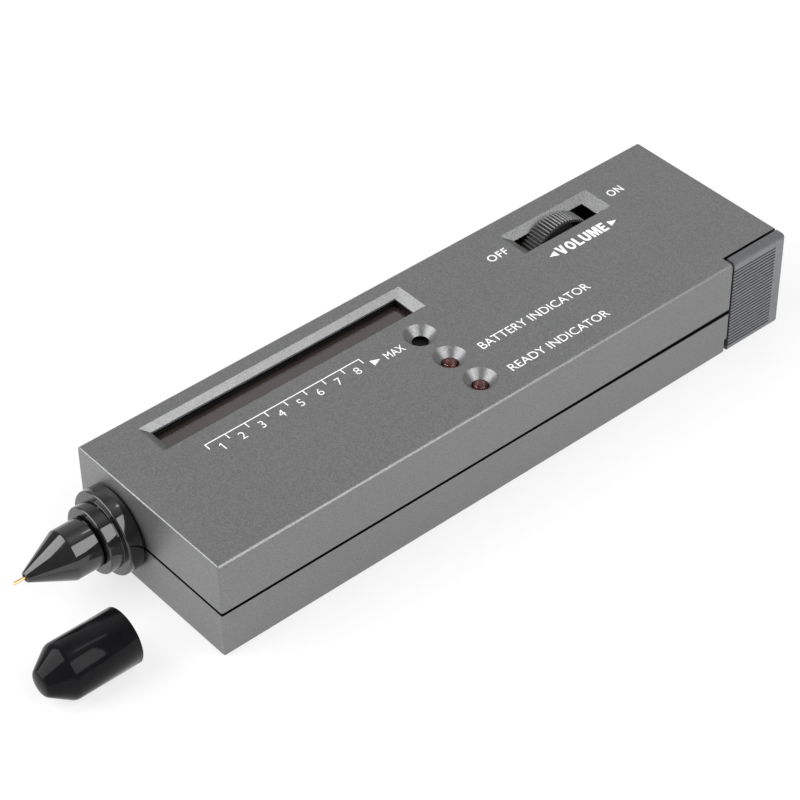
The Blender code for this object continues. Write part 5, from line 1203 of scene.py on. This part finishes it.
def add_camera():
    """Camera at the photograph's place and angle."""
    data = bpy.data.cameras.new("photo_view")
    data.lens = CAMERA_LENS
    data.sensor_width = CAMERA_SENSOR
    data.clip_start = CAMERA_CLIP
    camera = bpy.data.objects.new("photo_view", data)
    turn = Matrix((CAMERA_RIGHT, CAMERA_UP, CAMERA_RIGHT.cross(CAMERA_UP))).transposed()
    camera.matrix_world = Matrix.Translation(CAMERA_PLACE) @ turn.to_4x4()
    bpy.context.scene.collection.objects.link(camera)
    bpy.context.scene.camera = camera


def towards(azimuth, elevation, distance=1.0):
    """Place seen from the origin in that direction, in degrees."""
    turn = math.radians(azimuth)
    rise = math.radians(elevation)
    flat = math.cos(rise) * distance
    return Vector((flat * math.cos(turn), flat * math.sin(turn), math.sin(rise) * distance))


def soft_box(name, place, facing, size, radiance):
    """Rectangular lamp of an even radiance; facing is the direction it is square to."""
    data = bpy.data.lights.new(name, "AREA")
    data.shape = "RECTANGLE"
    data.size, data.size_y = size
    data.energy = radiance * LIGHT_LEVEL * math.pi * size[0] * size[1]
    lamp = bpy.data.objects.new(name, data)
    lamp.matrix_world = frame_along(towards(*place), towards(*facing))
    bpy.context.scene.collection.objects.link(lamp)


def add_light():
    """Large soft boxes on the near right and the far left, and a narrow strip overhead."""
    soft_box("right_box", RIGHT_PLACE, RIGHT_FACING, RIGHT_SIZE, RIGHT_RADIANCE)
    soft_box("left_box", LEFT_PLACE, LEFT_FACING, LEFT_SIZE, LEFT_RADIANCE)
    soft_box("overhead_strip", STRIP_PLACE, STRIP_FACING, STRIP_SIZE, STRIP_RADIANCE)


def glow_patch(tree, direction, centre, spread):
    """1 within the first angle from the centre, 0 outside the second, in degrees."""
    near = node(tree, "ShaderNodeVectorMath", operation="DOT_PRODUCT")
    link(tree, direction, near.inputs[0])
    near.inputs[1].default_value = towards(*centre)
    angle = math_node(tree, "ARCCOSINE", near.outputs["Value"])
    inner, outer = (math.radians(limit) for limit in spread)
    return remap(tree, angle, 1, 0, inner, outer)


def add_world():
    """Dim studio with a pale backdrop and a soft glow overhead, which the camera sees as white."""
    world = bpy.data.worlds.new("studio")
    world.use_nodes = True
    bpy.context.scene.world = world
    tree = world.node_tree
    background = tree.nodes["Background"]
    direction = node(tree, "ShaderNodeTexCoord").outputs["Generated"]
    backdrop = glow_patch(tree, direction, BACKDROP, BACKDROP_SPREAD)
    overhead = glow_patch(tree, direction, OVERHEAD, OVERHEAD_SPREAD)
    base, lit, bright = (
        (level * LIGHT_LEVEL,) * 3 for level in (STUDIO_BASE, BACKDROP_RADIANCE, OVERHEAD_RADIANCE)
    )
    studio = mix_colour(tree, overhead, mix_colour(tree, backdrop, base, lit), bright)
    rays = node(tree, "ShaderNodeLightPath")
    seen = mix_colour(tree, rays.outputs["Is Camera Ray"], studio, WHITE)
    link(tree, seen, background.inputs["Color"])


def add_floor():
    """Pale floor that glows for the camera and in reflections and keeps a faint shadow."""
    bm = bmesh.new()
    bmesh.ops.create_grid(bm, x_segments=1, y_segments=1, size=FLOOR_REACH)
    mesh = bpy.data.meshes.new("floor")
    bm.to_mesh(mesh)
    bm.free()
    floor = bpy.data.objects.new("floor", mesh)
    bpy.context.scene.collection.objects.link(floor)
    floor.location = (0, 0, -FLOOR_DROP)
    material = bpy.data.materials.new("pale_floor")
    material.use_nodes = True
    tree = material.node_tree
    tree.nodes.clear()
    output = node(tree, "ShaderNodeOutputMaterial")
    paper = node(tree, "ShaderNodeBsdfDiffuse", Color=(*FLOOR_COLOUR, 1))
    glow = node(tree, "ShaderNodeEmission", Color=(*WHITE, 1), Strength=1.0)
    rays = node(tree, "ShaderNodeLightPath")
    seen = math_node(tree, "MAXIMUM", rays.outputs["Is Camera Ray"], rays.outputs["Is Glossy Ray"])
    seen = math_node(tree, "MAXIMUM", seen, rays.outputs["Is Transmission Ray"])
    share = multiply(tree, seen, FLOOR_GLOW_SHARE)
    mixed = node(tree, "ShaderNodeMixShader")
    link(tree, share, mixed.inputs[0])
    link(tree, paper.outputs[0], mixed.inputs[1])
    link(tree, glow.outputs[0], mixed.inputs[2])
    link(tree, mixed.outputs[0], output.inputs["Surface"])
    mesh.materials.append(material)


add_camera()
make_nose()
make_cap()
make_lamps()
make_wheel()
make_screws()
make_printing()
refine_nodes(replaced_nodes())
carve_surfaces()
press_spring()
add_light()
add_world()
add_floor()
bpy.context.scene.view_settings.view_transform = "Standard"
